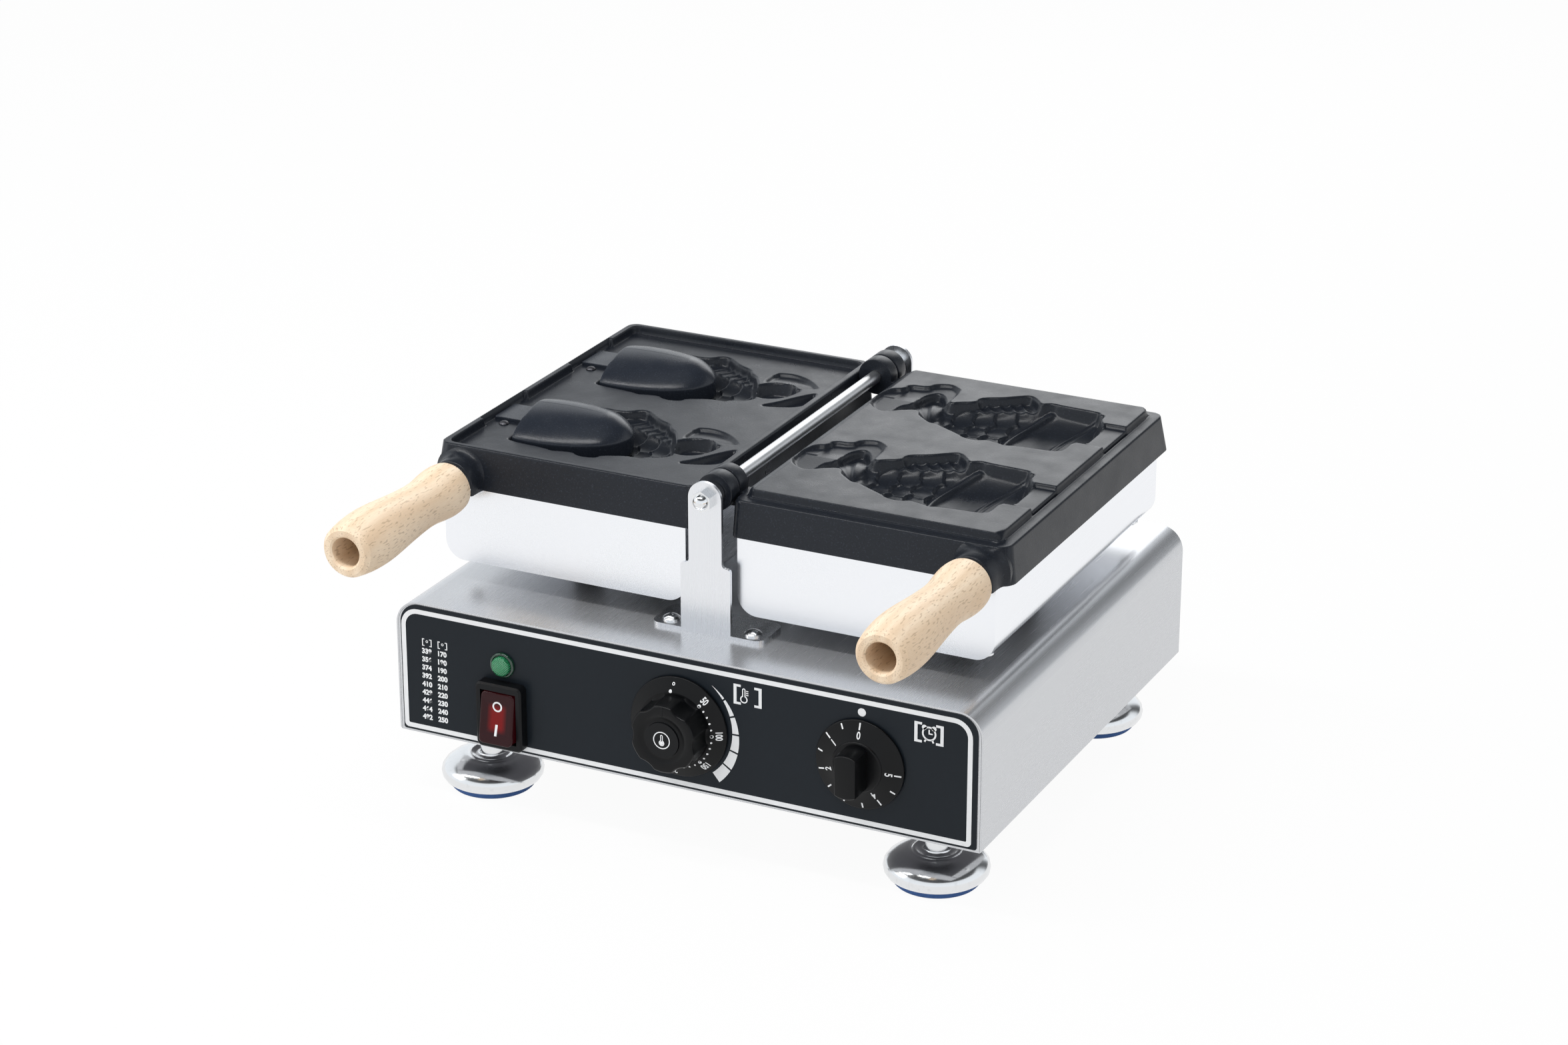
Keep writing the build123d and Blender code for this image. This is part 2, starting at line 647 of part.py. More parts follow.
with BuildPart() as fish_cavity:
    with BuildSketch() as fish_outline:
        with BuildLine():
            back = Spline((joint_u, -7),
                          *fish_points((0.338, 0.118), (0.401, 0.368), (0.497, 0.559), (0.608, 0.794),
                                       (0.718, 0.941), (0.843, 0.941)),
                          (jaw_u, head_half_width - 5))
            cheek = Polyline(back @ 1, (jaw_u, mouth_high + 2.5), (head_u, mouth_high), (head_u, mouth_low),
                             (jaw_u, mouth_low), (jaw_u, 3 - head_half_width))
            Spline(cheek @ 1,
                   *fish_points((0.780, -1.0), (0.670, -0.971), (0.556, -0.912), (0.435, -0.647),
                                (0.366, -0.471)),
                   back @ 0)
        make_face()
    extrude(amount=-head_depth - 1)
    loft(trough(0, 0), ruled=True, mode=Mode.INTERSECT)
    with BuildSketch() as dorsal_fin:
        with BuildLine():
            fin_edge = Spline(*fish_points((0.456, 0.441), (0.483, 0.750), (0.546, 0.882), (0.622, 1.132),
                                           (0.677, 1.044), (0.718, 0.824)))
            Line(fin_edge @ 0, fin_edge @ 1)
        make_face()
    extrude(amount=-fin_depth)
    with BuildSketch() as belly_fin:
        with BuildLine():
            keel_edge = Spline(*fish_points((0.553, -0.853), (0.573, -1.0), (0.622, -1.038),
                                            (0.663, -0.985), (0.677, -0.853)))
            Line(keel_edge @ 0, keel_edge @ 1)
        make_face()
    extrude(amount=-fin_depth)
    with BuildSketch() as tail_flukes:
        with BuildLine():
            fluke_points = fish_points((0.345, -0.118), (0.276, -0.250), (0.218, -0.456), (0.207, -0.118),
                                       (0.242, 0.176), (0.245, 0.471), (0.290, 0.809), (0.338, 0.706),
                                       (0.373, 0.471), (0.387, 0.147), (0.345, -0.118))
            Spline(*fluke_points, tangents=[(-1, -0.4), (-1, -0.4)])
        make_face()
    extrude(amount=-fluke_depth)
    with BuildSketch() as tail_fan:
        with BuildLine():
            Spline((tail_end_u, -2),
                   *fish_points((0.138, -0.324), (0.207, -0.485), (0.304, -0.235), (0.373, 0.235),
                                (0.373, 0.824), (0.318, 1.074), (0.235, 0.853), (0.152, 0.588)),
                   (tail_end_u, 6), (tail_end_u, -2))
        make_face()
    extrude(amount=-fan_depth)


def ribbon(width, *arc_points):
    """Sketch a band of even width along an arc, just above the parting face."""
    with BuildSketch(Plane.XY.offset(1)) as band:
        with BuildLine():
            middle_line = ThreePointArc(*arc_points)
            offset(middle_line, amount=width / 2, side=Side.BOTH)
        make_face()
    return band.sketch


# Raised lines on the belly: the gill cover's edge first, then the lower ones of the mouth and the scales.
with BuildPart() as gill_ridge:
    gill_line = ribbon(gill_ridge_width, (shoulder_u + 2, -head_half_width - 4),
                       (shoulder_u + 2 - gill_swing, 0), (shoulder_u + 2, head_half_width + 4))
    extrude(gill_line, amount=-head_depth - 3)
    loft(trough(gill_ridge_height, gill_ridge_height), ruled=True, mode=Mode.SUBTRACT)

with BuildPart() as fine_ridges:
    with BuildSketch(Plane.XY.offset(1)) as scale_arcs:
        for column in range(scale_columns):
            middle_u = scale_tail_u + column * scale_pitch_u
            rows = [(middle_u, (row + column % 2 / 2) * scale_pitch_v) for row in range(-3, 3)]
            with Locations(*rows):
                Circle(scale_radius)
            with Locations(*rows):
                Circle(scale_radius - scale_lip, mode=Mode.SUBTRACT)
            with Locations((middle_u + scale_radius / 2, 0)):
                Rectangle(scale_radius, 4 * head_half_width, mode=Mode.SUBTRACT)
        with BuildSketch(mode=Mode.INTERSECT):
            with BuildLine():
                Polyline(*fish_points((0.38, -0.4), (0.38, 0.2), (0.46, 0.3), (0.66, 0.65),
                                      (0.66, -0.8), (0.54, -0.72)), close=True)
            make_face()
    extrude(amount=-head_depth - 3)
    lip_line = ribbon(lip_ridge_width, (jaw_u - 6, -head_half_width),
                      (jaw_u - lip_ridge_setback, 0), (jaw_u - 6, head_half_width))
    extrude(lip_line, amount=-head_depth - 3)
    loft(trough(scale_rise, scale_rise), ruled=True, mode=Mode.SUBTRACT)

# Rays stand on the floor of the back fin and of the tail.
with BuildPart() as rays:
    with BuildSketch(Plane.XY.offset(-fin_depth + ray_rise)):
        with Locations((head_u * 0.601, head_half_width * 0.895)):
            with Locations(*[(step * ray_width * 3.4, step * ray_width * 0.9)
                             for step in range(-(ray_count // 2), ray_count // 2 + 1)]):
                SlotOverall(ray_length, ray_width, rotation=ray_slant)
    extrude(amount=-head_depth)
    with BuildSketch(Plane.XY.offset(-fluke_depth + ray_rise)):
        with Locations(*fish_points((0.262, -0.15), (0.285, 0.17), (0.320, 0.44))):
            SlotOverall(ray_length, ray_width)
    extrude(amount=-head_depth)

with BuildPart() as fish_tool:
    add(fish_cavity.part)
    add(gill_ridge.part, mode=Mode.SUBTRACT)
    add(fine_ridges.part, mode=Mode.SUBTRACT)
    add(rays.part, mode=Mode.SUBTRACT)


def cut_fish(face_z):
    """Sink both fish into the face at face_z."""
    with Locations(*[(0, y, face_z) for y in fish_rows]):
        add(fish_tool.part, mode=Mode.SUBTRACT)


def flipped(part):
    """The left half's copy of a piece drawn on the right."""
    return mirror(part, about=Plane.YZ)


with BuildPart() as right_mould:
    loft(rounded_block(mould_inner, mould_outer, mould_length, ledge_z, ledge_z - mould_z, mould_draft),
         ruled=True)
    extrude(flat_plan(plate_inner, plate_outer, plate_length, ledge_z, inner_corner),
            amount=plate_z - ledge_z)
    add_handle_boss()
    add_knuckles(inner_knuckle_end - inner_knuckle, inner_knuckle)
    cut_fish(plate_z)
    with Locations(*[(head_u - 1, y + (mouth_low + mouth_high) / 2, plate_z) for y in fish_rows]):
        Box(plate_outer - head_u + 2, mouth_high - mouth_low, mouth_depth,
            align=(Align.MIN, Align.CENTER, Align.MAX), mode=Mode.SUBTRACT)
    drill_pan_screws()
finish(right_mould.part, "right_mould")

core_root_u = jaw_u - core_root_gap
core_tip_u = head_u - core_reach
core_length = core_root_u - core_tip_u
core_tab_y = (core_tab_low + core_tab_high) / 2
core_tab_width = core_tab_high - core_tab_low
with BuildPart() as left_casting:
    loft(rounded_block(mould_inner, mould_outer, mould_length, rim_z, rim_z - mould_z, mould_draft),
         ruled=True)
    add_handle_boss()
    add_knuckles(outer_knuckle_face, outer_knuckle)
    extrude(flat_plan(tray_inner, tray_outer, tray_length, rim_z, inner_corner),
            amount=tray_z - rim_z, mode=Mode.SUBTRACT)
    cut_fish(tray_z)
    with Locations(*[(tray_outer - 2, y + core_tab_y, rim_z) for y in fish_rows]):
        Box(core_notch + 2, core_tab_width + 2 * core_notch, rim_z - tray_z,
            align=(Align.MIN, Align.CENTER, Align.MAX), mode=Mode.SUBTRACT)
    with Locations(*[(jaw_u - 1, y + core_tab_y, tray_z) for y in fish_rows]):
        Box(tray_outer - jaw_u + 1 + core_notch, core_tab_width + 2 * core_gap, core_tab_sink,
            align=(Align.MIN, Align.CENTER, Align.MAX), mode=Mode.SUBTRACT)
    with Locations(*[(core_screw_u, y + core_screw_v, tray_z) for y in fish_rows]):
        Hole(core_screw_radius + thread_clearance, depth=core_screw_length)
    drill_pan_screws()
finish(flipped(left_casting.part), "left_mould")

# ---- mouth cores: tongues that hold the fish's mouth open ---------------------------------------------
with BuildPart() as mouth_core:
    with BuildSketch(Plane.XY.offset(-core_sink)) as tongue:
        with BuildLine():
            lower_side = [(core_tip_u + core_length * along, core_low * across)
                          for along, across in ((0.643, 0.956), (0.284, 0.772), (0.056, 0.403))]
            upper_side = [(core_tip_u + core_length * along, core_high * across)
                          for along, across in ((0.056, 0.296), (0.284, 0.704), (0.643, 0.944))]
            tongue_edge = Spline((core_root_u, core_low), *lower_side, (core_tip_u, -2), *upper_side,
                                 (core_root_u, core_high), tangents=[(-1, 0.02), (1, 0.02)])
            Line(tongue_edge @ 0, tongue_edge @ 1)
        make_face()
    extrude(amount=core_sink + core_rise)
    long_edges = mouth_core.edges().filter_by(lambda edge: edge.length > core_length * 2)
    fillet(long_edges, core_edge)
    with Locations((core_root_u - 6, core_tab_y, -core_tab_sink)):
        Box(tray_outer + core_notch - core_gap - core_root_u + 6, core_tab_width, core_tab_sink - core_gap,
            align=(Align.MIN, Align.CENTER, Align.MIN))
    with Locations((core_root_u - 6, (core_neck_low + core_neck_high) / 2, -core_tab_sink)):
        Box(tray_outer - core_root_u + 4, core_neck_high - core_neck_low, core_tab_sink + core_tab_rise,
            align=(Align.MIN, Align.CENTER, Align.MIN))
    with Locations((core_screw_u, core_screw_v, 1)):
        Hole(core_screw_radius + thread_clearance, depth=core_tab_sink + 2)
for name, y in zip(("front_mouth_core", "rear_mouth_core"), fish_rows):
    with BuildPart() as placed_core:
        with Locations((0, y, tray_z)):
            add(mouth_core.part)
    finish(flipped(placed_core.part), name)

core_screw = pan_head_screw(core_screw_radius, core_screw_length - 1,
                            core_head_radius, small_head_height)
with BuildPart() as core_screws:
    with Locations(*[(core_screw_u, y + core_screw_v, tray_z - core_gap) for y in fish_rows]):
        add(core_screw)
finish(flipped(core_screws.part), "core_screws")


def finish_pair(part, name):
    """Write a piece for the right half and its mirror image for the left half."""
    finish(part, f"right_{name}")
    finish(flipped(part), f"left_{name}")


# ---- pans: folded sheet boxes under the castings -----------------------------------------------------
with BuildPart() as pan:
    for wall in (0, sheet):
        with BuildSketch(Plane.XZ.offset(pan_length / 2 - middle_y - wall)) as section:
            with Locations(((pan_inner + pan_outer) / 2, (pan_z + wall + mould_z) / 2)):
                Rectangle(pan_outer - pan_inner - 2 * wall, mould_z - pan_z - wall)
            fillet(section.vertices().group_by(Axis.Y)[0], pan_bend - wall)
        extrude(amount=-(pan_length - 2 * wall), mode=Mode.SUBTRACT if wall else Mode.ADD)
    with Locations(*[Location((x, y, pan_z + sheet)) for x, y in pan_screw_seats()]):
        Hole(pan_screw_radius + thread_clearance, depth=2 * sheet)
finish_pair(pan.part, "pan")

pan_screw = pan_head_screw(pan_screw_radius, pan_height + pan_screw_grip,
                           screw_head_radius, screw_head_height)
with BuildPart() as pan_screws:
    with Locations(*[Location((x, y, pan_z), (180, 0, 0)) for x, y in pan_screw_seats()]):
        add(pan_screw)
finish_pair(pan_screws.part, "pan_screws")

# ---- heaters: a bent tube under each casting, held up by two straps on posts ---------------------------
heater_z = mould_z - heater_radius - 0.1
heater_near = pan_inner + heater_margin_x
heater_far = pan_outer - heater_margin_x
heater_front = middle_y - pan_length / 2 + heater_margin_y
heater_back = middle_y + pan_length / 2 - heater_margin_y
leg_step = (heater_far - heater_near) / 3
legs = [heater_near + step * leg_step for step in range(4)]
heater_path = [(legs[0], heater_back, heater_z), (legs[0], heater_front, heater_z),
               (legs[1], heater_front, heater_z), (legs[1], heater_back - heater_margin_y, heater_z),
               (legs[2], heater_back - heater_margin_y, heater_z), (legs[2], heater_front, heater_z),
               (legs[3], heater_front, heater_z), (legs[3], heater_back, heater_z)]
with BuildPart() as heater:
    with BuildLine():
        FilletPolyline(*heater_path, radius=leg_step * 0.4)
    with BuildSketch(Plane(heater_path[0], z_dir=(0, -1, 0))):
        Circle(heater_radius)
    sweep()
finish_pair(heater.part, "heater")

strap_z = heater_z - heater_radius - 0.1
with BuildPart() as heater_straps:
    for y in (heater_front + heater_margin_y, heater_back - 2 * heater_margin_y):
        with Locations(((heater_near + heater_far) / 2, y, strap_z)):
            Box(heater_far - heater_near + 3 * heater_radius + leg_step / 2, strap_width, strap_thickness,
                align=(Align.CENTER, Align.CENTER, Align.MAX))
        with Locations(*[(legs[step] + leg_step / 2, y, strap_z) for step in range(3)]):
            Cylinder(strap_width * 0.35, mould_z - strap_z, align=(Align.CENTER, Align.CENTER, Align.MIN))
finish_pair(heater_straps.part, "heater_straps")

# ---- rubber stops under the pans -----------------------------------------------------------------------
with BuildPart() as rest_bumpers:
    with BuildSketch(Plane.XY.offset(base_top)):
        with Locations((0, middle_y)):
            with GridLocations(2 * (pan_outer - bumper_inset), 2 * bumper_y, 2, 2):
                Circle(bumper_radius)
    extrude(amount=pan_z - base_top - bumper_gap, taper=8)
finish(rest_bumpers.part, "rest_bumpers")

# ---- handles ---------------------------------------------------------------------------------------------
handle_length = front_y + handle_root - handle_end_y
handle_axis = Axis((handle_x, handle_end_y, handle_z), (0, 1, 0))
handle_plane = Plane((handle_x, handle_end_y, handle_z), x_dir=(0, 1, 0), z_dir=(1, 0, 0))
with BuildPart() as handle:
    with BuildSketch(handle_plane):
        with BuildLine():
            swell = [(0.025, 0.885), (0.16, 0.994), (0.27, 1.0), (0.43, 0.917),
                     (0.60, 0.827), (0.75, 0.814), (0.88, 0.904), (0.98, 0.872)]
            grip = Spline(*[(handle_length * along, handle_radius * wide) for along, wide in swell])
            bolt_hole = handle_bolt_radius + thread_clearance
            Polyline(grip @ 1, (handle_length, handle_end_radius), (handle_length, bolt_hole),
                     (handle_bolt_seat, bolt_hole), (handle_bolt_seat, handle_hole),
                     (1, handle_hole), (0, handle_hole + 1), (0, handle_end_radius), grip @ 0)
        make_face()
    revolve(axis=handle_axis)
finish_pair(handle.part, "handle")

with BuildPart() as handle_washer_disc:
    with BuildSketch(Plane((handle_x, boss_y, handle_z), x_dir=(1, 0, 0), z_dir=(0, -1, 0))):
        Circle(boss_half_width - 1)
        Circle(handle_bolt_radius + thread_clearance, mode=Mode.SUBTRACT)
    extrude(amount=handle_washer)
finish_pair(handle_washer_disc.part, "handle_washer")

with BuildPart() as handle_bolt:
    with BuildSketch(handle_plane):
        with BuildLine():
            head_start = handle_bolt_seat - handle_bolt_head
            flange_start = handle_bolt_seat - handle_washer
            bolt_end = boss_y + handle_bolt_grip - handle_end_y
            Polyline((head_start, 0), (head_start, handle_hole - 3), (flange_start, handle_hole - 3),
                     (flange_start, handle_hole - 1), (handle_bolt_seat, handle_hole - 1),
                     (handle_bolt_seat, handle_bolt_radius), (bolt_end, handle_bolt_radius), (bolt_end, 0),
                     close=True)
        make_face()
    revolve(axis=handle_axis)
finish_pair(handle_bolt.part, "handle_bolt")


# ---- control panel: lamp, switch, thermostat and timer -------------------------------------------------
def on_panel(x, z, out=0):
    """A plane facing the cook, out in front of the label, centred on a control."""
    return Plane((x, front_y - label_thickness - out, base_z + z), x_dir=(1, 0, 0), z_dir=(0, -1, 0))


panel_stack = panel_sheet + label_thickness
with BuildPart() as lamp_bezel:
    with BuildSketch(on_panel(switch_x, lamp_z)):
        Circle(lamp_radius)
    extrude(amount=1.6)
    with BuildSketch(on_panel(switch_x, lamp_z)):
        Circle(lamp_radius - 1 - thread_clearance)
    extrude(amount=-18)
    with BuildSketch(on_panel(switch_x, lamp_z, 2)):
        Circle(lamp_radius - 1.6)
    extrude(amount=-16, mode=Mode.SUBTRACT)
finish(lamp_bezel.part, "lamp_bezel")

with BuildPart() as lamp_lens:
    with BuildSketch(on_panel(switch_x, lamp_z, -10)):
        Circle(lamp_radius - 1.6 - thread_clearance)
    extrude(amount=14.5)
    fillet(lamp_lens.edges().group_by(Axis.Y)[0], 1.5)
finish(lamp_lens.part, "lamp_lens")

switch_z = (switch_low + switch_high) / 2
rocker_arc = rocker_height / 2 + 0.1
pivot_y = front_y - label_thickness - pivot_out
with BuildPart() as switch_housing:
    with BuildSketch(on_panel(switch_x, switch_z)):
        RectangleRounded(switch_width, switch_high - switch_low, 3)
    extrude(amount=switch_rise)
    chamfer(switch_housing.edges().group_by(Axis.Y)[0], 1)
    with BuildSketch(on_panel(switch_x, switch_z)):
        Rectangle(switch_width - 3 - 2 * panel_gap, switch_high - switch_low - 3 - 2 * panel_gap)
    extrude(amount=-24)
    with BuildSketch(on_panel(switch_x, switch_z, switch_rise + 1)):
        Rectangle(rocker_width + 1, 2 * (rocker_arc + 0.3))
    extrude(amount=-(switch_rise + 1 + rocker_arc + 0.5 - pivot_out), mode=Mode.SUBTRACT)
    for side in (-1, 1):
        stub_x = switch_x + side * (rocker_width + 1) / 2
        with Locations(Location((stub_x, pivot_y, base_z + switch_z), (0, 90, 0))):
            Cylinder(pivot_radius, 2.4)
finish(switch_housing.part, "switch_housing")

with BuildPart() as switch_rocker:
    with BuildSketch(Plane((switch_x - rocker_width / 2, pivot_y, base_z + switch_z),
                           x_dir=(0, 1, 0), z_dir=(1, 0, 0))) as rocker_side:
        Circle(rocker_arc)
        with BuildSketch(mode=Mode.INTERSECT):
            with BuildLine():
                Polyline((rocker_back, -rocker_arc), (rocker_back, rocker_arc), (-rocker_wing, rocker_arc),
                         (-rocker_waist, 0), (-rocker_wing, -rocker_arc), close=True)
            make_face()
    extrude(rocker_side.sketch.rotate(Axis((0, pivot_y, base_z + switch_z), (1, 0, 0)), -rocker_throw / 2),
            amount=rocker_width)
    fillet(switch_rocker.edges().filter_by(Axis.X).sort_by(Axis.Y)[0:2], 0.8)
    with Locations(Location((switch_x, pivot_y, base_z + switch_z), (0, 90, 0))):
        Cylinder(pivot_radius + running_clearance, rocker_width + 1, mode=Mode.SUBTRACT)
finish(switch_rocker.part, "switch_rocker")

dial_top = dial_gap + dial_rise
with BuildPart() as temperature_knob:
    with BuildSketch(Plane((thermostat_x, front_y - label_thickness, base_z + dial_z),
                           x_dir=(0, -1, 0), z_dir=(1, 0, 0))):
        with BuildLine():
            Polyline((dial_gap, 0), (dial_gap, skirt_radius), (dial_gap + dial_rim, skirt_radius),
                     (dial_top, grip_radius + 1.5), (dial_top, grip_radius),
                     (knob_reach - 2, grip_radius - 1.2), (knob_reach, grip_radius - 3.5),
                     (knob_reach, cap_radius + 0.1), (knob_reach - 1, cap_radius + 0.1),
                     (knob_reach - 1, 0), close=True)
        make_face()
    revolve(axis=Axis((thermostat_x, front_y, base_z + dial_z), (0, 1, 0)))
    with BuildSketch(on_panel(thermostat_x, dial_z, dial_top + 0.4)):
        with PolarLocations(grip_radius + flute_radius - flute_depth, flute_count):
            Circle(flute_radius)
    extrude(amount=knob_reach, mode=Mode.SUBTRACT)
    with BuildSketch(on_panel(thermostat_x, dial_z, -1)):
        Circle(spindle_radius)
    extrude(amount=knob_reach - 4, mode=Mode.SUBTRACT)
finish(temperature_knob.part, "temperature_knob")

with BuildPart() as temperature_cap:
    with BuildSketch(on_panel(thermostat_x, dial_z, knob_reach - 1)):
        Circle(cap_radius)
    extrude(amount=1.3)
finish(temperature_cap.part, "temperature_cap")

with BuildPart() as timer_knob:
    with BuildSketch(Plane((timer_x, front_y - label_thickness, base_z + dial_z),
                           x_dir=(0, -1, 0), z_dir=(1, 0, 0))):
        with BuildLine():
            Polyline((dial_gap, 0), (dial_gap, timer_radius), (dial_gap + dial_rim, timer_radius),
                     (dial_top - 1, timer_step_radius), (dial_top, timer_step_radius), (dial_top, 0),
                     close=True)
        make_face()
    revolve(axis=Axis((timer_x, front_y, base_z + dial_z), (0, 1, 0)))
    with BuildSketch(on_panel(timer_x, dial_z, dial_top - 0.2)):
        Circle(timer_grip_radius)
        with BuildSketch(mode=Mode.INTERSECT):
            Rectangle(timer_bar_width, 2 * timer_grip_radius)
    extrude(amount=knob_reach - dial_top + 0.2, taper=3)
    chamfer(timer_knob.faces().sort_by(Axis.Y)[0].edges(), 0.6)
    with BuildSketch(on_panel(timer_x, dial_z, -1)):
        Circle(spindle_radius)
    extrude(amount=knob_reach - 4, mode=Mode.SUBTRACT)
finish(timer_knob.part, "timer_knob")

for name, x in (("temperature_spindle", thermostat_x), ("timer_spindle", timer_x)):
    with BuildPart() as spindle:
        with BuildSketch(on_panel(x, dial_z, knob_reach - 5)):
            Circle(spindle_radius - running_clearance)
        extrude(amount=-(knob_reach - 5 + panel_stack + 12))
    finish(spindle.part, name)

with BuildPart() as thermostat:
    with BuildSketch(on_panel(thermostat_x, dial_z, -panel_stack)):
        RectangleRounded(thermostat_width, thermostat_height, 4)
    extrude(amount=-thermostat_depth)
    with BuildSketch(on_panel(thermostat_x, dial_z, 1)):
        Circle(spindle_radius)
    extrude(amount=-(panel_stack + 16), mode=Mode.SUBTRACT)
finish(thermostat.part, "thermostat")

with BuildPart() as timer_motor:
    with BuildSketch(on_panel(timer_x, dial_z, -panel_stack)):
        RectangleRounded(timer_motor_size, timer_motor_size, 5)
    extrude(amount=-timer_motor_depth)
    with BuildSketch(on_panel(timer_x, dial_z, 1)):
        Circle(spindle_radius)
    extrude(amount=-(panel_stack + 16), mode=Mode.SUBTRACT)
finish(timer_motor.part, "timer_motor")

# ---- terminal block and cord gland ---------------------------------------------------------------------
with BuildPart() as terminal_block:
    with Locations((gland_x - terminal_inset, back_y - terminal_inset, floor_top)):
        Box(*terminal_size, align=(Align.CENTER, Align.CENTER, Align.MIN))
    with Locations((gland_x - terminal_inset, back_y - terminal_inset, floor_top + terminal_size[2])):
        with GridLocations(14, 10, 3, 2):
            Hole(2.2, depth=8)
finish(terminal_block.part, "terminal_block")

gland_plane = Plane((gland_x, back_y, base_z + gland_z), x_dir=(-1, 0, 0), z_dir=(0, 1, 0))
with BuildPart() as cord_gland:
    with BuildSketch(gland_plane):
        RegularPolygon(gland_radius, 6, major_radius=False)
    extrude(amount=gland_out * 0.55)
    with BuildSketch(gland_plane):
        Circle(gland_radius - 1.5)
    extrude(amount=gland_out)
    with BuildSketch(gland_plane):
        Circle(gland_body_radius)
    extrude(amount=-10)
    with BuildSketch(gland_plane.offset(gland_out + 1)):
        Circle(gland_bore)
    extrude(amount=-(gland_out + 12), mode=Mode.SUBTRACT)
finish(cord_gland.part, "cord_gland")
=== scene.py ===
from math import asin, cos, degrees, hypot, pi, radians, sin, tan

import bpy
import numpy as np
from bpy.props import FloatProperty, FloatVectorProperty, PointerProperty
from mathutils import Matrix, Vector


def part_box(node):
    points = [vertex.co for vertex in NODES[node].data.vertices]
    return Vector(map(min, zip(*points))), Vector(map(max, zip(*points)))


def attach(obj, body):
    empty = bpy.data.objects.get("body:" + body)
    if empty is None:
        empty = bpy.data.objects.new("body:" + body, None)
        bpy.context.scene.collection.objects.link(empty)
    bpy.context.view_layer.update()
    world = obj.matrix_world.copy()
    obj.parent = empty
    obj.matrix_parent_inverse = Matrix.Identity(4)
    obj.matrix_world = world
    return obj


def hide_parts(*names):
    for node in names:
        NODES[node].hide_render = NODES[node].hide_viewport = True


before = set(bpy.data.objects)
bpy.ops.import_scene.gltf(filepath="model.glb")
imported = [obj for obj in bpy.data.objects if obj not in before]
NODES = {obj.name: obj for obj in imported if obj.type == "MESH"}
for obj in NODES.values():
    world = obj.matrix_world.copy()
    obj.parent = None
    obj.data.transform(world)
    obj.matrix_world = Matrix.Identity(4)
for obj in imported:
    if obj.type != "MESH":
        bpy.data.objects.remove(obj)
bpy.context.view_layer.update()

bl_info = {
    "name": "Waffle Iron Finish",
    "version": (1, 0, 0),
    "blender": (4, 5, 0),
    "location": "3D View > Sidebar > Waffle Iron",
    "description": "Carves the moulds, prints the panel and paints every piece of a fish waffle iron",
    "category": "Object",
}

MM = 0.001


def node_box(name):
    """A node's lowest and highest corner, in millimetres."""
    low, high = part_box(name)
    return low / MM, high / MM


def centre_of(name):
    """Middle of a node's box, in millimetres."""
    low, high = node_box(name)
    return (low + high) / 2


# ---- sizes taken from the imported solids, in millimetres ----
AXIS_Z = centre_of("hinge_rod").z
MIDDLE_Y = centre_of("hinge_rod").y
MOULD_Z = node_box("right_mould")[0].z
BOSS_Y = node_box("right_mould")[0].y
LABEL_Y = node_box("control_label")[0].y
BASE_Z = node_box("control_label")[0].z - 1.3
HANDLE_X = centre_of("right_handle").x

PLATE_Z = AXIS_Z + 3.0          # right half's raised plate
LEDGE_Z = AXIS_Z - 1.5          # the ledge round it
RIM_Z = AXIS_Z + 1.1            # left half's rim
TRAY_Z = AXIS_Z - 3.4           # left half's sunken floor
PLATE = (14.9, 156.0, 201.6)    # its near and far edge from the hinge, and its length
TRAY = (14.3, 158.4, 206.9)     # the same of the left half's sunken floor
MOULD_NEAR = 10.5               # hinge to the near wall
MOULD_FAR = 162.0               # hinge to the far wall, at the top
MOULD_LENGTH = 214.0
DRAFT = 8                       # slope of the moulds' walls, in degrees
FISH_ROWS = (MIDDLE_Y - 46.1, MIDDLE_Y + 49.9)


# ---- properties ----
def length(name, description, default, low=0.0, high=1.0):
    """A size that a user may change, in metres."""
    return FloatProperty(name=name, description=description, default=default, min=low, max=high,
                         unit="LENGTH", precision=4)


def share(name, description, default):
    """A plain number from 0 to 1."""
    return FloatProperty(name=name, description=description, default=default, min=0.0, max=1.0,
                         subtype="FACTOR")


def colour(name, description, default):
    """A linear colour that a user may change."""
    return FloatVectorProperty(name=name, description=description, default=default, size=3,
                               min=0.0, max=1.0, subtype="COLOR")


class MouldSettings(bpy.types.PropertyGroup):
    """Sizes and finish of the two castings."""

    cell: length("Cell", "Spacing of the mesh over the fish", 0.62 * MM, 0.3 * MM, 4 * MM)
    lip: length("Lip", "Radius of the castings' outer top edge", 1.4 * MM, 0.2 * MM, 3 * MM)
    scale_rise: length("Scale rise", "Step at the free edge of a scale", 1.7 * MM, 0.0, 3 * MM)
    coat_colour: colour("Coating", "Baked non-stick coating", (0.0092, 0.0112, 0.0155))
    coat_roughness: share("Coating roughness", "Roughness of the coating", 0.3)


class PanelSettings(bpy.types.PropertyGroup):
    """The printed panel and its controls."""

    film_colour: colour("Film", "Printed film on the front plate", (0.0105, 0.0145, 0.0195))
    ink_colour: colour("Ink", "White print", (0.86, 0.87, 0.88))
    border: length("Border", "Width of the white border line", 2.6 * MM, 0.2 * MM, 6 * MM)
    knob_colour: colour("Knobs", "Moulded black plastic", (0.004, 0.0045, 0.0055))


class MetalSettings(bpy.types.PropertyGroup):
    """Sheet metal, fasteners and feet."""

    steel_colour: colour("Steel", "Brushed stainless sheet", (0.60, 0.61, 0.63))
    chrome_colour: colour("Chrome", "Polished feet", (0.78, 0.79, 0.80))
    steel_roughness: share("Steel roughness", "Roughness along the brushing", 0.27)


class WoodSettings(bpy.types.PropertyGroup):
    """The turned handles."""

    light_colour: colour("Light wood", "Early wood", (0.93, 0.76, 0.57))
    dark_colour: colour("Dark wood", "Late wood and pores", (0.70, 0.48, 0.29))


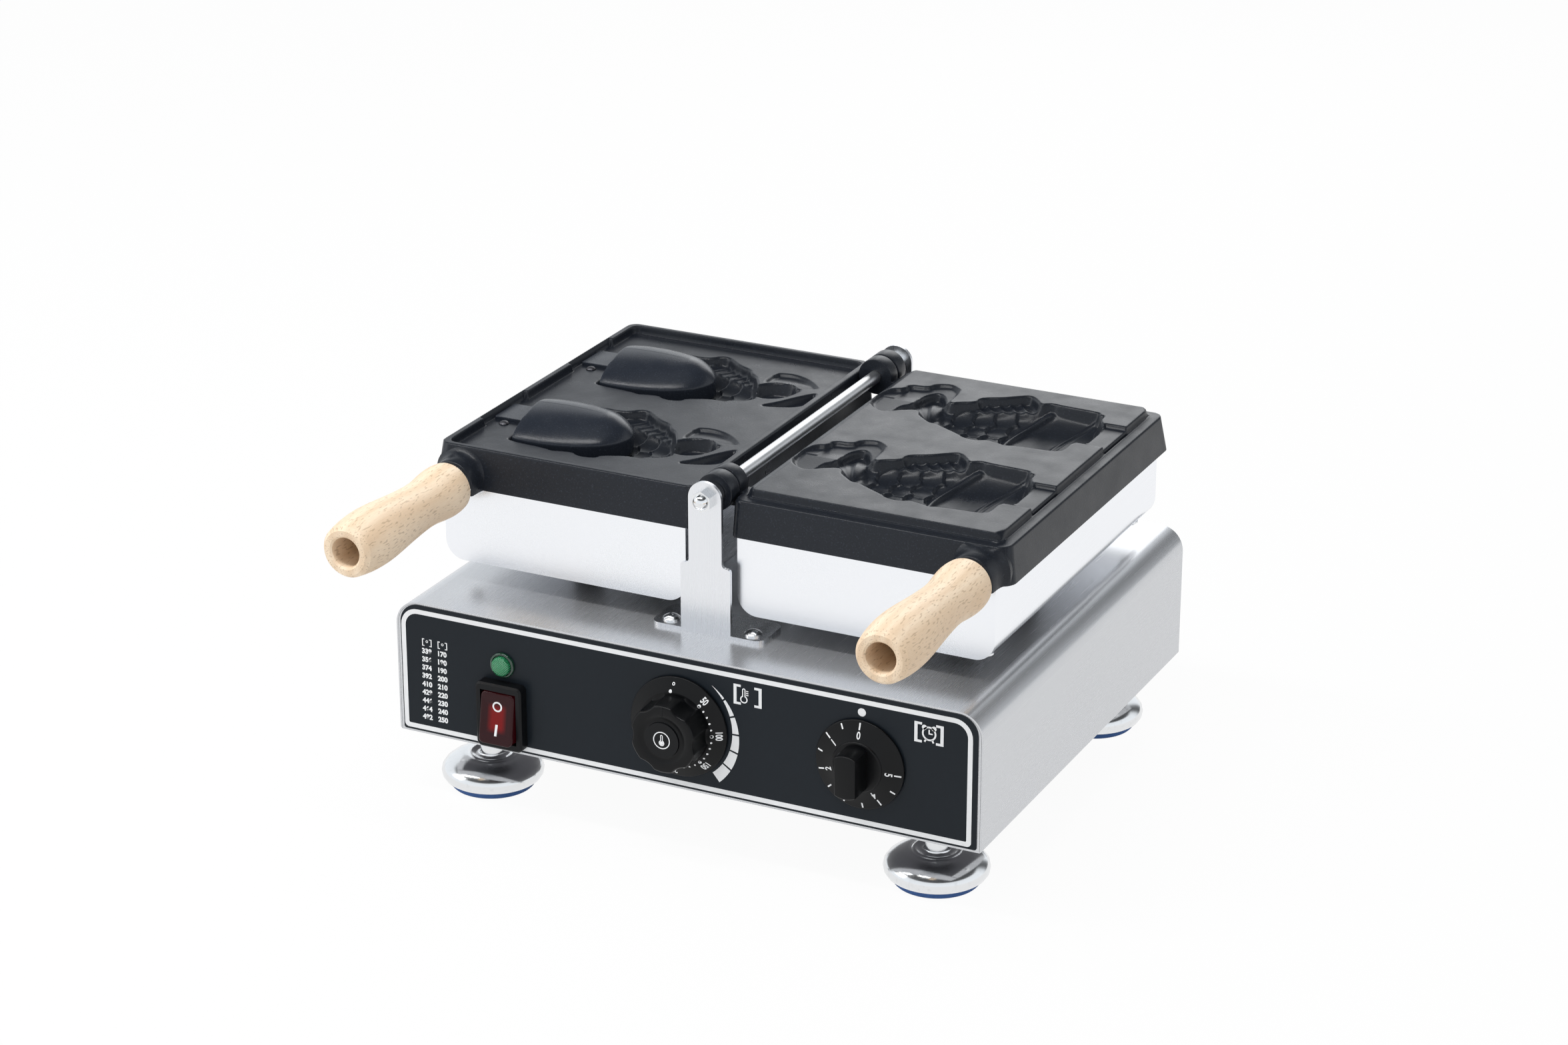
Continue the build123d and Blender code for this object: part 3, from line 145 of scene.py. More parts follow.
class StageSettings(bpy.types.PropertyGroup):
    """Floor, lamps and camera."""

    floor_colour: colour("Floor", "Pale floor", (0.84, 0.84, 0.84))
    lens: FloatProperty(name="Lens", description="Focal length in millimetres", default=89.405,
                        min=20.0, max=300.0)

# ---- small modelling helpers ----
def deselect():
    """Leave nothing selected, since operators act on all that is."""
    if bpy.context.object and bpy.context.object.mode != "OBJECT":
        bpy.ops.object.mode_set(mode="OBJECT")
    bpy.ops.object.select_all(action="DESELECT")


def pick(obj):
    """Select one object and make it the active one."""
    deselect()
    obj.select_set(True)
    bpy.context.view_layer.objects.active = obj
    return obj


def new_object(name, data):
    """An object for new data, linked to the scene."""
    obj = bpy.data.objects.new(name, data)
    bpy.context.scene.collection.objects.link(obj)
    return obj


def as_mesh(name, curve):
    """A curve or text made a mesh."""
    pick(new_object(name, curve))
    bpy.ops.object.convert(target="MESH")
    return bpy.context.object


def place(obj, matrix):
    """Move a piece's mesh, so that the object itself stays at the origin."""
    obj.data.transform(matrix @ obj.matrix_basis)
    obj.matrix_basis = Matrix.Identity(4)
    obj.data.update()
    return obj


def tidy(obj, merge=0.000001):
    """Merge doubles and turn all faces outwards."""
    pick(obj)
    bpy.ops.object.mode_set(mode="EDIT")
    bpy.ops.mesh.select_all(action="SELECT")
    bpy.ops.mesh.remove_doubles(threshold=merge)
    bpy.ops.mesh.normals_make_consistent(inside=False)
    bpy.ops.object.mode_set(mode="OBJECT")
    return obj


def smooth(obj, angle):
    """Smooth shading with sharp edges kept."""
    pick(obj)
    bpy.ops.object.shade_smooth_by_angle(angle=radians(angle))
    return obj


def join(name, pieces):
    """Make several meshes one piece."""
    pick(pieces[0])
    for piece in pieces[1:]:
        piece.select_set(True)
    if len(pieces) > 1:
        bpy.ops.object.join()
    joined = bpy.context.object
    joined.name = joined.data.name = name
    return joined


def paint(obj, finish):
    """Give a piece one finish."""
    obj.data.materials.clear()
    obj.data.materials.append(finish_of(finish))
    return obj


def fit(obj, body, slot, *nodes):
    """Hang a finished piece on its body and hide the nodes it stands for; the slot it is given is not used.
    """
    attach(obj, body)
    if nodes:
        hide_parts(*nodes)
    return obj


def arc(radius, start, end, steps, centre=(0.0, 0.0)):
    """Points along a circle, between two angles in degrees."""
    turns = [radians(start + (end - start) * i / steps) for i in range(steps + 1)]
    return [(centre[0] + radius * cos(turn), centre[1] + radius * sin(turn)) for turn in turns]


def ring(radius, count):
    """Points round a circle."""
    return arc(radius, 0, 360, count)[:-1]


def box_loop(low_x, low_y, high_x, high_y):
    """A plain rectangle."""
    return [(low_x, low_y), (high_x, low_y), (high_x, high_y), (low_x, high_y)]


def rounded_loop(low_x, low_y, high_x, high_y, corners, steps=8):
    """Points round a rectangle with a radius for each corner, from the lower left one anticlockwise."""
    points = []
    for (x, y), (right, up), start, radius in zip(
            box_loop(low_x, low_y, high_x, high_y), ((1, 1), (-1, 1), (-1, -1), (1, -1)),
            (180, 270, 0, 90), corners):
        points += arc(radius, start, start + 90, steps, (x + right * radius, y + up * radius))
    return points


def flat_piece(name, loops, thickness, edge=0.0):
    """A flat shape, in millimetres, filled between closed loops, with rounded edges."""
    curve = bpy.data.curves.new(name, "CURVE")
    curve.dimensions = "2D"
    curve.fill_mode = "BOTH"
    curve.extrude = thickness / 2 - edge
    curve.bevel_depth = edge
    curve.bevel_resolution = 2
    curve.offset = -edge
    for loop in loops:
        spline = curve.splines.new("POLY")
        spline.points.add(len(loop) - 1)
        for point, (x, y) in zip(spline.points, loop):
            point.co = (x, y, 0, 1)
        spline.use_cyclic_u = True
    return tidy(as_mesh(name, curve), 0.001)


def ringed_solid(name, rings, merge=0.000001):
    """A closed solid through rings of as many points each, in millimetres, capped at both ends."""
    count = len(rings[0])
    points = [[part * MM for part in point] for points_round in rings for point in points_round]
    last = len(points) - count
    faces = [tuple(range(count)), tuple(range(last, len(points)))]
    for start in range(0, last, count):
        for i in range(count):
            a, b = start + i, start + (i + 1) % count
            faces.append((a, b, b + count, a + count))
    mesh = bpy.data.meshes.new(name)
    mesh.from_pydata(points, [], faces)
    return tidy(new_object(name, mesh), merge)


def facing_cook(x, y, z):
    """Drawing plane seen from in front, from millimetres to metres: across is X, up is Z."""
    return Matrix.Translation((x * MM, y * MM, z * MM)) @ Matrix(
        ((MM, 0, 0, 0), (0, 0, -MM, 0), (0, MM, 0, 0), (0, 0, 0, 1)))


# ---- nodes that materials are made of ----
def make_node(tree, kind, inputs=None, **settings):
    """Add a shader node, set what it is and what goes in."""
    node = tree.nodes.new(kind)
    for key, value in settings.items():
        setattr(node, key, value)
    for key, value in (inputs or {}).items():
        if isinstance(value, bpy.types.NodeSocket):
            tree.links.new(value, node.inputs[key])
        else:
            node.inputs[key].default_value = value
    return node


def maths(tree, operation, *values):
    """Result of one sum."""
    return make_node(tree, "ShaderNodeMath", dict(enumerate(values)), operation=operation).outputs[0]


def vector_maths(tree, operation, *values):
    """Result of one sum on each of three axes."""
    return make_node(tree, "ShaderNodeVectorMath", dict(enumerate(values)), operation=operation).outputs[0]


def ranged(tree, value, low, high, to_low=0.0, to_high=1.0):
    """A value from low to high, stretched to a new range and held at its ends."""
    return make_node(tree, "ShaderNodeMapRange", {"Value": value, "From Min": low, "From Max": high,
                                                  "To Min": to_low, "To Max": to_high}).outputs[0]


def on_object(tree):
    """The object's own coordinates."""
    return make_node(tree, "ShaderNodeTexCoord").outputs["Object"]


def noise(tree, at, scale, detail, roughness=0.5):
    """Soft noise from 0 to 1."""
    return make_node(tree, "ShaderNodeTexNoise", {"Vector": at, "Scale": scale, "Detail": detail,
                                                  "Roughness": roughness}).outputs["Fac"]


def rgba(values):
    """A colour socket's value."""
    return (*values[:3], 1.0)


def shaded(values, scale):
    """A colour made lighter or darker."""
    return [part * scale for part in values]


def mix_colours(tree, mask, plain, marked):
    """One colour into another under a mask."""
    plain, marked = (value if isinstance(value, bpy.types.NodeSocket) else rgba(value)
                     for value in (plain, marked))
    return make_node(tree, "ShaderNodeMix", {0: mask, 6: plain, 7: marked}, data_type="RGBA").outputs[2]


def add_bump(tree, shader, height, distance, strength):
    """Let a height tilt the shader's normal."""
    bump = make_node(tree, "ShaderNodeBump", {"Height": height, "Distance": distance, "Strength": strength})
    tree.links.new(bump.outputs["Normal"], shader.inputs["Normal"])


def connect(tree, node, **sources):
    """Link outputs to a node's inputs; an underscore stands for the space in an input's name."""
    for key, source in sources.items():
        tree.links.new(source, node.inputs[key.replace("_", " ")])


def new_group(name, **inputs):
    """An empty node group, with its named inputs as outputs to link from."""
    group = bpy.data.node_groups.new(name, "ShaderNodeTree")
    for socket, default in inputs.items():
        kind = "NodeSocketFloat" if isinstance(default, float) else "NodeSocketVector"
        made = group.interface.new_socket(name=socket, in_out="INPUT", socket_type=kind)
        made.default_value = default
    return group, group.nodes.new("NodeGroupInput").outputs


def put_out(group, **values):
    """Give a group its named outputs."""
    for socket in values:
        group.interface.new_socket(name=socket, in_out="OUTPUT", socket_type="NodeSocketFloat")
    connect(group, group.nodes.new("NodeGroupOutput"), **values)
    return group


def speckle_group():
    """Fine cast or moulded texture: two sizes of grain that vary height, tone and roughness."""
    group, given = new_group("speckle", Scale=900.0, Low=0.3, High=0.4)
    at = on_object(group)
    fine = noise(group, at, given["Scale"], 3.0, 0.6)
    broad = noise(group, at, maths(group, "MULTIPLY", given["Scale"], 0.07), 4.0)
    return put_out(group, Height=maths(group, "MULTIPLY_ADD", broad, 0.35, fine),
                   Roughness=ranged(group, broad, 0.3, 0.7, given["Low"], given["High"]),
                   Mask=ranged(group, fine, 0.56, 0.72))


def brushing_group():
    """Brushed or rolled metal: fine parallel lines, long in the direction that Stretch keeps small."""
    group, given = new_group("brushing", Stretch=(20.0, 2000.0, 2000.0), Low=0.2, High=0.34)
    at = on_object(group)
    lines = noise(group, vector_maths(group, "MULTIPLY", at, given["Stretch"]), 1.0, 4.0, 0.65)
    blend = maths(group, "MULTIPLY_ADD", noise(group, at, 14.0, 2.0), 0.5, lines)
    return put_out(group, Height=lines, Tone=ranged(group, lines, 0.3, 0.7),
                   Roughness=ranged(group, blend, 0.55, 0.95, given["Low"], given["High"]))


def worn_edge_group():
    """A mask of the outer edges, broken up, where a pale colour is painted in as an edge highlight."""
    group, given = new_group("worn_edge", Start=0.53, Full=0.6)
    sharpness = make_node(group, "ShaderNodeNewGeometry").outputs["Pointiness"]
    edge = ranged(group, sharpness, given["Start"], given["Full"])
    broken = ranged(group, noise(group, on_object(group), 420.0, 3.0), 0.45, 0.65)
    return put_out(group, Mask=maths(group, "MULTIPLY", edge, broken))


GROUPS = {}


def use_group(tree, make_group, **inputs):
    """Place a shared effect in a material, with this material's own values."""
    if make_group not in GROUPS:
        GROUPS[make_group] = make_group()
    return make_node(tree, "ShaderNodeGroup", inputs, node_tree=GROUPS[make_group]).outputs


# ---- materials ----
def new_material(name, **constants):
    """A material with its Principled shader, and that shader's constant sockets set."""
    material = bpy.data.materials.new(name)
    material.use_nodes = True
    shader = material.node_tree.nodes["Principled BSDF"]
    for key, value in constants.items():
        shader.inputs[key.replace("_", " ")].default_value = value
    return material, material.node_tree, shader


def grained(name, plain, flecked, low, high, grain, depth=0.0, strength=0.0, **constants):
    """One colour with a fine grain that varies its tone, its gloss and, if it has depth, its height."""
    material, tree, shader = new_material(name, **constants)
    grains = use_group(tree, speckle_group, Scale=grain, Low=low, High=high)
    connect(tree, shader, Base_Color=mix_colours(tree, grains["Mask"], plain, flecked),
            Roughness=grains["Roughness"])
    if depth:
        add_bump(tree, shader, grains["Height"], depth, strength)
    return material


def cast_coating(name, tint, roughness, grain, sparkle):
    """Baked non-stick coating over cast aluminium: near black, finely pebbled, with a painted highlight
    along its sharp edges.
    """
    colour_values = bpy.context.scene.waffle_moulds.coat_colour
    material, tree, shader = new_material(name, Specular_IOR_Level=0.26)
    grains = use_group(tree, speckle_group, Scale=grain, Low=roughness - 0.04, High=roughness + 0.06)
    highlight_edges = use_group(tree, worn_edge_group, Start=0.56, Full=0.72)
    flecked = mix_colours(tree, grains["Mask"], shaded(colour_values, tint),
                          shaded(colour_values, tint * sparkle))
    # Painted highlight: a pale grey laid on the sharp outer edges, standing in for the bright lines where
    # lit edges catch the light.
    edge_highlighted = mix_colours(tree, highlight_edges["Mask"], flecked, (0.075, 0.078, 0.085))
    connect(tree, shader, Base_Color=edge_highlighted, Roughness=grains["Roughness"])
    add_bump(tree, shader, grains["Height"], 0.00006, 0.8)
    return material


def brushed_metal(name, tint, low, high, stretch, metallic=1.0):
    """Sheet metal with its brushing drawn along one direction."""
    steel = bpy.context.scene.waffle_metal.steel_colour
    material, tree, shader = new_material(name, Metallic=metallic, Specular_IOR_Level=0.5)
    lines = use_group(tree, brushing_group, Stretch=stretch, Low=low, High=high)
    toned = mix_colours(tree, lines["Tone"], shaded(steel, tint * 0.985), shaded(steel, tint * 1.015))
    connect(tree, shader, Base_Color=toned, Roughness=lines["Roughness"])
    add_bump(tree, shader, lines["Height"], 0.0000003, 0.3)
    return material


def bright_metal(name, tint, low, high, grain=500.0):
    """Plated or polished metal with faint unevenness."""
    return grained(name, tint, shaded(tint, 0.93), low, high, grain, 0.000008, 0.4, Metallic=1.0)


def moulded_plastic(name, tint, low, high, grain=1400.0, depth=0.00003):
    """Fine-textured moulded plastic or rubber."""
    return grained(name, tint, shaded(tint, 1.35), low, high, grain, depth, 0.7, Specular_IOR_Level=0.2)


def printed_film(name, tint):
    """The panel's satin film."""
    return grained(name, tint, shaded(tint, 1.12), 0.30, 0.38, 2200.0, 0.00001, 0.4,
                   Specular_IOR_Level=0.16)


def white_ink(name, tint):
    """Screen-printed white ink."""
    return grained(name, tint, shaded(tint, 0.96), 0.45, 0.55, 1800.0, Specular_IOR_Level=0.3)


def green_rim(name):
    """Dark green clear plastic round the lamp."""
    return grained(name, (0.004, 0.035, 0.018), (0.006, 0.05, 0.025), 0.12, 0.2, 1500.0,
                   Coat_Weight=0.6, Specular_IOR_Level=0.5)


def beech(name, light, dark):
    """Turned beech: pale rings along the handle, with the short dark flecks of its rays."""
    material, tree, shader = new_material(name, Specular_IOR_Level=0.4)
    at = on_object(tree)
    grown = vector_maths(tree, "MULTIPLY", at, (1.0, 0.09, 1.0))
    rings = make_node(tree, "ShaderNodeTexWave", {"Vector": grown, "Scale": 38.0, "Distortion": 5.0,
                                                  "Detail": 3.0, "Detail Scale": 1.6},
                      wave_type="BANDS", bands_direction="X").outputs["Fac"]
    fibres = noise(tree, vector_maths(tree, "MULTIPLY", at, (2600.0, 90.0, 2600.0)), 1.0, 2.0)
    flecks = noise(tree, vector_maths(tree, "MULTIPLY", at, (1300.0, 260.0, 1300.0)), 1.0, 0.0)
    bands = maths(tree, "MULTIPLY_ADD", rings, 0.45, noise(tree, grown, 55.0, 3.0))
    banded = mix_colours(tree, ranged(tree, bands, 0.4, 1.1, 0.0, 0.6), light, dark)
    fibred = mix_colours(tree, ranged(tree, fibres, 0.45, 0.7, 0.0, 0.28), banded, dark)
    flecked = mix_colours(tree, ranged(tree, flecks, 0.63, 0.72, 0.0, 0.55), fibred, shaded(dark, 0.7))
    connect(tree, shader, Base_Color=flecked, Roughness=ranged(tree, fibres, 0.3, 0.7, 0.42, 0.56))
    add_bump(tree, shader, fibres, 0.00004, 0.5)
    return material


def green_lens(name):
    """Faceted green lens of the lamp, with painted light and shade on its facets."""
    material, tree, shader = new_material(name, Roughness=0.12, Coat_Weight=0.4)
    diagonal = make_node(tree, "ShaderNodeMapping", {
        "Vector": on_object(tree), "Rotation": (0.0, radians(45), 0.0), "Scale": (1.0, 0.0, 1.0)})
    cells = make_node(tree, "ShaderNodeTexVoronoi", {"Vector": diagonal.outputs[0], "Scale": 1150.0,
                                                     "Randomness": 0.0}, distance="CHEBYCHEV")
    # Painted light and shade: light green on the facets' tips and dark green in the grooves between them,
    # from the same cells as the bump.
    tone = ranged(tree, cells.outputs["Distance"], 0.1, 0.5)
    connect(tree, shader, Base_Color=mix_colours(tree, tone, (0.05, 0.42, 0.17), (0.004, 0.09, 0.035)))
    add_bump(tree, shader, tone, -0.0002, 1.0)
    return material


def red_rocker(name):
    """Smoky red rocker with the lamp behind its middle."""
    window_half = {"X": 4.4 * MM, "Z": 6.6 * MM}
    soft = 1.5 * MM
    middle = centre_of("switch_rocker") * MM
    material, tree, shader = new_material(name, Roughness=0.16, Specular_IOR_Level=0.22,
                                          Emission_Strength=1.0)
    offset = vector_maths(tree, "SUBTRACT", on_object(tree), (middle.x, 0.0, middle.z))
    apart = make_node(tree, "ShaderNodeSeparateXYZ", {0: offset}).outputs
    window = maths(tree, "MULTIPLY", *(
        ranged(tree, maths(tree, "ABSOLUTE", apart[axis]), half + soft, half - soft)
        for axis, half in window_half.items()))
    connect(tree, shader,
            Base_Color=mix_colours(tree, window, (0.014, 0.002, 0.003), (0.05, 0.002, 0.002)),
            Emission_Color=mix_colours(tree, window, (0.010, 0.0, 0.0005), (0.13, 0.001, 0.0015)))
    return material


FINISHES = {}


def finish_of(slot):
    """The material for one of the finishes, made on first use."""
    if slot not in FINISHES:
        metal, panel = bpy.context.scene.waffle_metal, bpy.context.scene.waffle_panel
        wood, coat = bpy.context.scene.waffle_wood, bpy.context.scene.waffle_moulds.coat_roughness
        rough, knobs = metal.steel_roughness, panel.knob_colour
        along_x, along_y, along_z = (22.0, 2300.0, 2300.0), (2300.0, 22.0, 2300.0), (2300.0, 2300.0, 22.0)
        make, *values = {
            "stainless_sheet": (brushed_metal, 1.02, rough - 0.02, rough + 0.01, along_y, 0.74),
            "bracket_steel": (brushed_metal, 1.33, 0.26, 0.30, along_z),
            "pan_steel": (brushed_metal, 1.5, 0.24, 0.28, along_y),
            "inner_metal": (brushed_metal, 0.8, 0.3, 0.45, along_x),
            "bright_fastener": (bright_metal, (0.80, 0.81, 0.82), 0.12, 0.2),
            "heater_steel": (bright_metal, (0.42, 0.40, 0.38), 0.35, 0.5),
            "foot_chrome": (bright_metal, metal.chrome_colour, 0.14, 0.19, 350.0),
            # Dark steel: the core screws' own colour, and painted shade on the bottom plate, standing in
            # for the shadow under the housing that the feet's bells mirror.
            "dull_steel": (bright_metal, (0.10, 0.10, 0.11), 0.4, 0.5),
            # Painted highlight: the rod's steel is made near white, standing in for the broad bright streak
            # that light lays along it.
            "rod_steel": (bright_metal, (0.93, 0.94, 0.95), 0.30, 0.36),
            "panel_label": (printed_film, panel.film_colour),
            "white_ink": (white_ink, panel.ink_colour),
            "mould_coating": (cast_coating, 1.2, coat, 1100.0, 2.2),
            "core_coating": (cast_coating, 1.9, coat - 0.06, 1500.0, 2.0),
            "beech_wood": (beech, wood.light_colour, wood.dark_colour),
            "black_plastic": (moulded_plastic, knobs, 0.36, 0.46),
            "knob_plastic": (moulded_plastic, shaded(knobs, 0.6), 0.3, 0.38, 1900.0),
            "knob_cap": (moulded_plastic, knobs, 0.3, 0.36, 2400.0, 0.00001),
            "black_rubber": (moulded_plastic, (0.015, 0.015, 0.016), 0.6, 0.75),
            "blue_rubber": (moulded_plastic, (0.05, 0.12, 0.32), 0.45, 0.6),
            "green_lens": (green_lens,),
            "green_rim": (green_rim,),
            "red_rocker": (red_rocker,),
        }[slot]
        FINISHES[slot] = make(slot, *values)
    return FINISHES[slot]


# ---- relief of the fish ----
# u runs from the hinge outwards, v across the fish; depths are below the plate or the tray's floor.
FISH_OUTLINE = (
    (135, -32.5), (113, -34), (108, -36), (105, -34.5), (100, -33.5), (97, -32.5), (93, -34.8), (88, -35.4),
    (83, -34), (80.5, -31.5), (70, -26), (63, -22), (59, -22), (56, -19.5), (53, -17), (48.5, -13),
    (46.5, -7), (40, -8.5), (36, -11), (31.5, -15.5), (29.5, -8), (30.5, -1), (32, 3), (35.5, 5.5),
    (35.5, 14), (37, 22), (41.5, 27.5), (45, 27.5), (49, 24), (53, 17), (56, 11.5), (58.5, 11), (60, 13),
    (68.5, 17.5), (68.5, 22), (70, 25.5), (79, 30), (85, 35), (90, 39), (93, 39), (97, 35.5), (101.5, 30),
    (104, 32), (107, 33.5), (112, 32.5), (122, 32), (132, 31.5), (135, 31), (136, 28.5), (139, 28.5),
    (139.5, 20), (144.8, 15), (144.8, -15.5), (138.5, -15.5), (138.5, -30), (136, -31))
FAN_OUTLINE = (
    (15.5, -4), (20, -11), (25, -15), (31, -17), (40, -9), (50, -6), (56, 0), (56, 9), (55, 30), (51, 34),
    (46, 37), (38, 34), (36, 28), (25.5, 27), (25, 20.5), (20, 18), (17, 13), (15, 6))
LEFT_BODY_OUTLINE = (
    (135, -32.5), (113, -34), (108, -36), (105, -34.5), (97, -33), (93, -36), (88, -36.5), (82, -34.5),
    (82, -31), (70, -25.5), (63, -25.5), (59.5, -25), (60, -23), (51, -19.5), (47.5, -14), (49, -11),
    (50, -4), (54, 3), (60, 13), (63, 18), (68.5, 22), (70, 26), (79, 30), (85, 35), (90, 39), (95, 38.5),
    (99, 34), (104, 32), (112, 32.5), (132, 31.5), (138, 28.5), (138.5, -30))
RING_OUTLINE = (
    (57, 5), (51.5, 12.5), (46, 14.5), (40, 15), (36, 13.5), (34.5, 9.5), (30.5, 9.5), (32.5, -2),
    (36.5, -8.5), (43, -12), (50, -11), (56, -5))
LENS_OUTLINE = (
    (55.5, 10), (55.5, 27.5), (50, 29.5), (45, 29.7), (39, 28), (33, 24.5), (25, 17), (23.5, 13.6),
    (34.5, 12.2), (40, 15.5), (47, 15), (52, 12.5))
LOWER_OUTLINE = (
    (20.3, 8.5), (19, -12), (22.5, -17), (30, -20.5), (38, -23), (41, -22), (35, -14.5), (29, -3), (24, 5))


def eased(low, high, value):
    """0 below low, 1 above high, with a smooth turn between."""
    t = np.clip((value - low) / (high - low), 0, 1)
    return t * t * (3 - 2 * t)


def soft_min(a, b, width):
    """The lesser of two heights, with a rounded change from one to the other."""
    t = np.clip(0.5 + 0.5 * (b - a) / width, 0, 1)
    return b * (1 - t) + a * t - width * t * (1 - t)


def corners_cut(outline, rounds):
    """A closed outline with its corners cut a number of times, which rounds them."""
    loop = np.array(outline, float)
    for _ in range(rounds):
        onward = np.roll(loop, -1, 0)
        loop = np.stack([0.75 * loop + 0.25 * onward, 0.25 * loop + 0.75 * onward], 1).reshape(-1, 2)
    return loop


def depth_inside(u, v, outline):
    """Distance inside a closed outline with its corners softened, negative outside."""
    loop = corners_cut(outline, 1)
    best = np.full(u.shape, 1e9)
    inside = np.zeros(u.shape, bool)
    for (a, b), (c, d) in zip(loop, np.roll(loop, -1, 0)):
        along_u, along_v = c - a, d - b
        t = np.clip(((u - a) * along_u + (v - b) * along_v) / (along_u**2 + along_v**2), 0, 1)
        best = np.minimum(best, (u - a - t * along_u)**2 + (v - b - t * along_v)**2)
        if d != b:
            inside ^= ((b > v) != (d > v)) & (u < along_u * (v - b) / along_v + a)
    return np.where(inside, 1, -1) * np.sqrt(best)


def wall(distance, steepness, lip=0.35):
    """Depth that a wall allows at a distance inside its edge, with a rounded lip."""
    inward = np.maximum(distance, 0)
    return steepness * (np.sqrt(inward**2 + lip**2) - lip)


def body_trough(u, v):
    """The round-bottomed hollow of the fish's body, and how far across it a point is, from -1 to 1."""
    stations = (44, 60, 70, 80, 100, 110, 145)
    centre = np.interp(u, stations, (1, -4.5, -4, -4.5, -1.7, -0.8, -0.8))
    half = np.interp(u, stations, (10, 17.5, 22, 26.5, 32, 33.5, 33.5))
    deepest = np.interp(u, stations, (6, 8.5, 10, 11.4, 14.2, 14.8, 14.8))
    across = (v - centre) / half
    return deepest * np.maximum(1 - np.abs(across)**2.3, 0)**0.55, across


def scale_field(u, v, rise):
    """Overlapping fan scales, deepest at the free edge, which faces the tail."""
    field = np.zeros(u.shape)
    reach, pitch = 7.4, 10.6
    for column, apex in enumerate((50.5, 60.0, 69.8, 79.6, 89.5, 99.5)):
        for row in range(-4, 5):
            middle = 2.0 + pitch * (row + (0.5 if column % 2 else 0.0))
            centre = apex + reach + 0.004 * (middle - 5)**2
            away = np.hypot(u - centre, 1.18 * (v - middle))
            mine = (away < reach) & (u < centre + 3.5)
            growth = np.clip((centre + 3.0 - u) / (reach + 3.0), 0, 1)
            cup = rise * growth - 0.75 * ((v - middle) / reach)**2 + 0.25
            field = np.where(mine, cup, field)
    return field


def gill_line(v):
    """Where the gill cover's edge crosses v."""
    return 95.5 + 13.5 * ((v + 2) / 33)**2


def head_field(u, v):
    """Gill ridge and the ridges inside the mouth, above the trough."""
    off = (u - gill_line(v)) / np.sqrt(1 + (0.0248 * (v + 2))**2)
    field = -1.9 * np.exp(-(off / 1.7)**2) + 0.7 * np.exp(-((off + 3.2) / 1.4)**2)
    jaw = u - (118.5 + 14.5 * (v / 30)**2)
    field -= 2.2 * eased(-0.6, 2.2, jaw) + 0.6 * np.exp(-((jaw - 0.4) / 0.9)**2)
    field += 0.7 * np.exp(-((jaw - 3.6) / 0.8)**2)
    return field


def fin_floor(u, v):
    """Floor of the dorsal and belly fins, with slanting rays."""
    rays = np.abs(np.sin(pi * (0.77 * u + 0.64 * v) / 6.0))
    return 4.2 + 1.1 * rays**0.7


def tail_floor(u, v):
    """Floor of the deep fluke: a raised shell with ribs that fan out from its root."""
    angle = np.arctan2(v + 12, 54 - u)
    ribs = 0.45 * np.sin(13 * angle) + 0.2 * np.sin(29 * angle)
    shell = np.maximum(1 - ((u - 46.5) / 9.5)**2 - ((v - 5) / 14.0)**2, 0)
    return 7.0 - 3.0 * shell**0.7 + ribs * eased(0.0, 0.4, shell)


def sunk_inside(edge, floor, steepness, blend):
    """Depth of a hollow that goes down to a floor from its edge, and nothing outside it."""
    return np.where(edge > 0, soft_min(floor, wall(edge, steepness), blend), 0)


def right_relief(u, v, rise):
    """Depth of the right half's fish below its plate."""
    edge = depth_inside(u, v, FISH_OUTLINE)
    trough, across = body_trough(u, v)
    scales = eased(0.96, 0.80, np.abs(across)) * eased(0.0, 1.2, gill_line(v) - 3.4 - u)
    floor = trough + scales * eased(49, 52, u) * scale_field(u, v, rise)
    floor += eased(0.99, 0.86, np.abs(across)) * eased(80, 84, u) * head_field(u, v)
    fin = fin_floor(u, v)
    floor = np.where(u > 60, -soft_min(-floor, -fin, 0.8), floor)
    body = eased(52.5, 57.5, u + 0.25 * (v - 5))
    floor = floor * body + tail_floor(u, v) * (1 - body)
    crease = np.where(v > 9, 2.3 - 0.05 * np.abs(v - 17), 2.2 + 0.07 * (9 - v))
    crease = crease + 0.5 * eased(24.5, 25.3, u) * (v > 9)
    channel = np.minimum(np.minimum(u - 143.0, 30.0), np.minimum(v + 15.5, 17.5 - v))
    return np.maximum.reduce([
        sunk_inside(edge, floor, 3.0, 1.2),
        sunk_inside(depth_inside(u, v, FAN_OUTLINE), crease, 1.6, 0.4),
        np.where(channel > 0, np.minimum(wall(channel, 3.5, 0.2), 2.2), 0)])


def left_relief(u, v, rise):
    """Depth of the left half's fish below its tray."""
    edge = depth_inside(u, v, LEFT_BODY_OUTLINE)
    trough, across = body_trough(u, v)
    scales = eased(0.97, 0.84, np.abs(across)) * eased(104, 100, u)
    floor = trough + scales * eased(48, 50, u) * scale_field(u, v, rise)
    floor = -soft_min(-floor, -fin_floor(u, v), 0.8)
    bowl = 7.2 - 2.2 * np.exp(-(((u - 45) / 7)**2 + ((v + 1) / 5)**2))
    lens = 1.3 + 0.8 * eased(18, 27, v)
    lower = 4.6 - 1.3 * np.abs(np.sin((u + v * 0.6) / 4.2))
    return np.maximum.reduce([
        sunk_inside(edge, floor, 3.0, 1.2),
        sunk_inside(depth_inside(u, v, RING_OUTLINE), bowl, 2.6, 1.6),
        sunk_inside(depth_inside(u, v, LENS_OUTLINE), lens, 1.5, 0.5),
        sunk_inside(depth_inside(u, v, LOWER_OUTLINE), lower, 2.2, 1.0)])


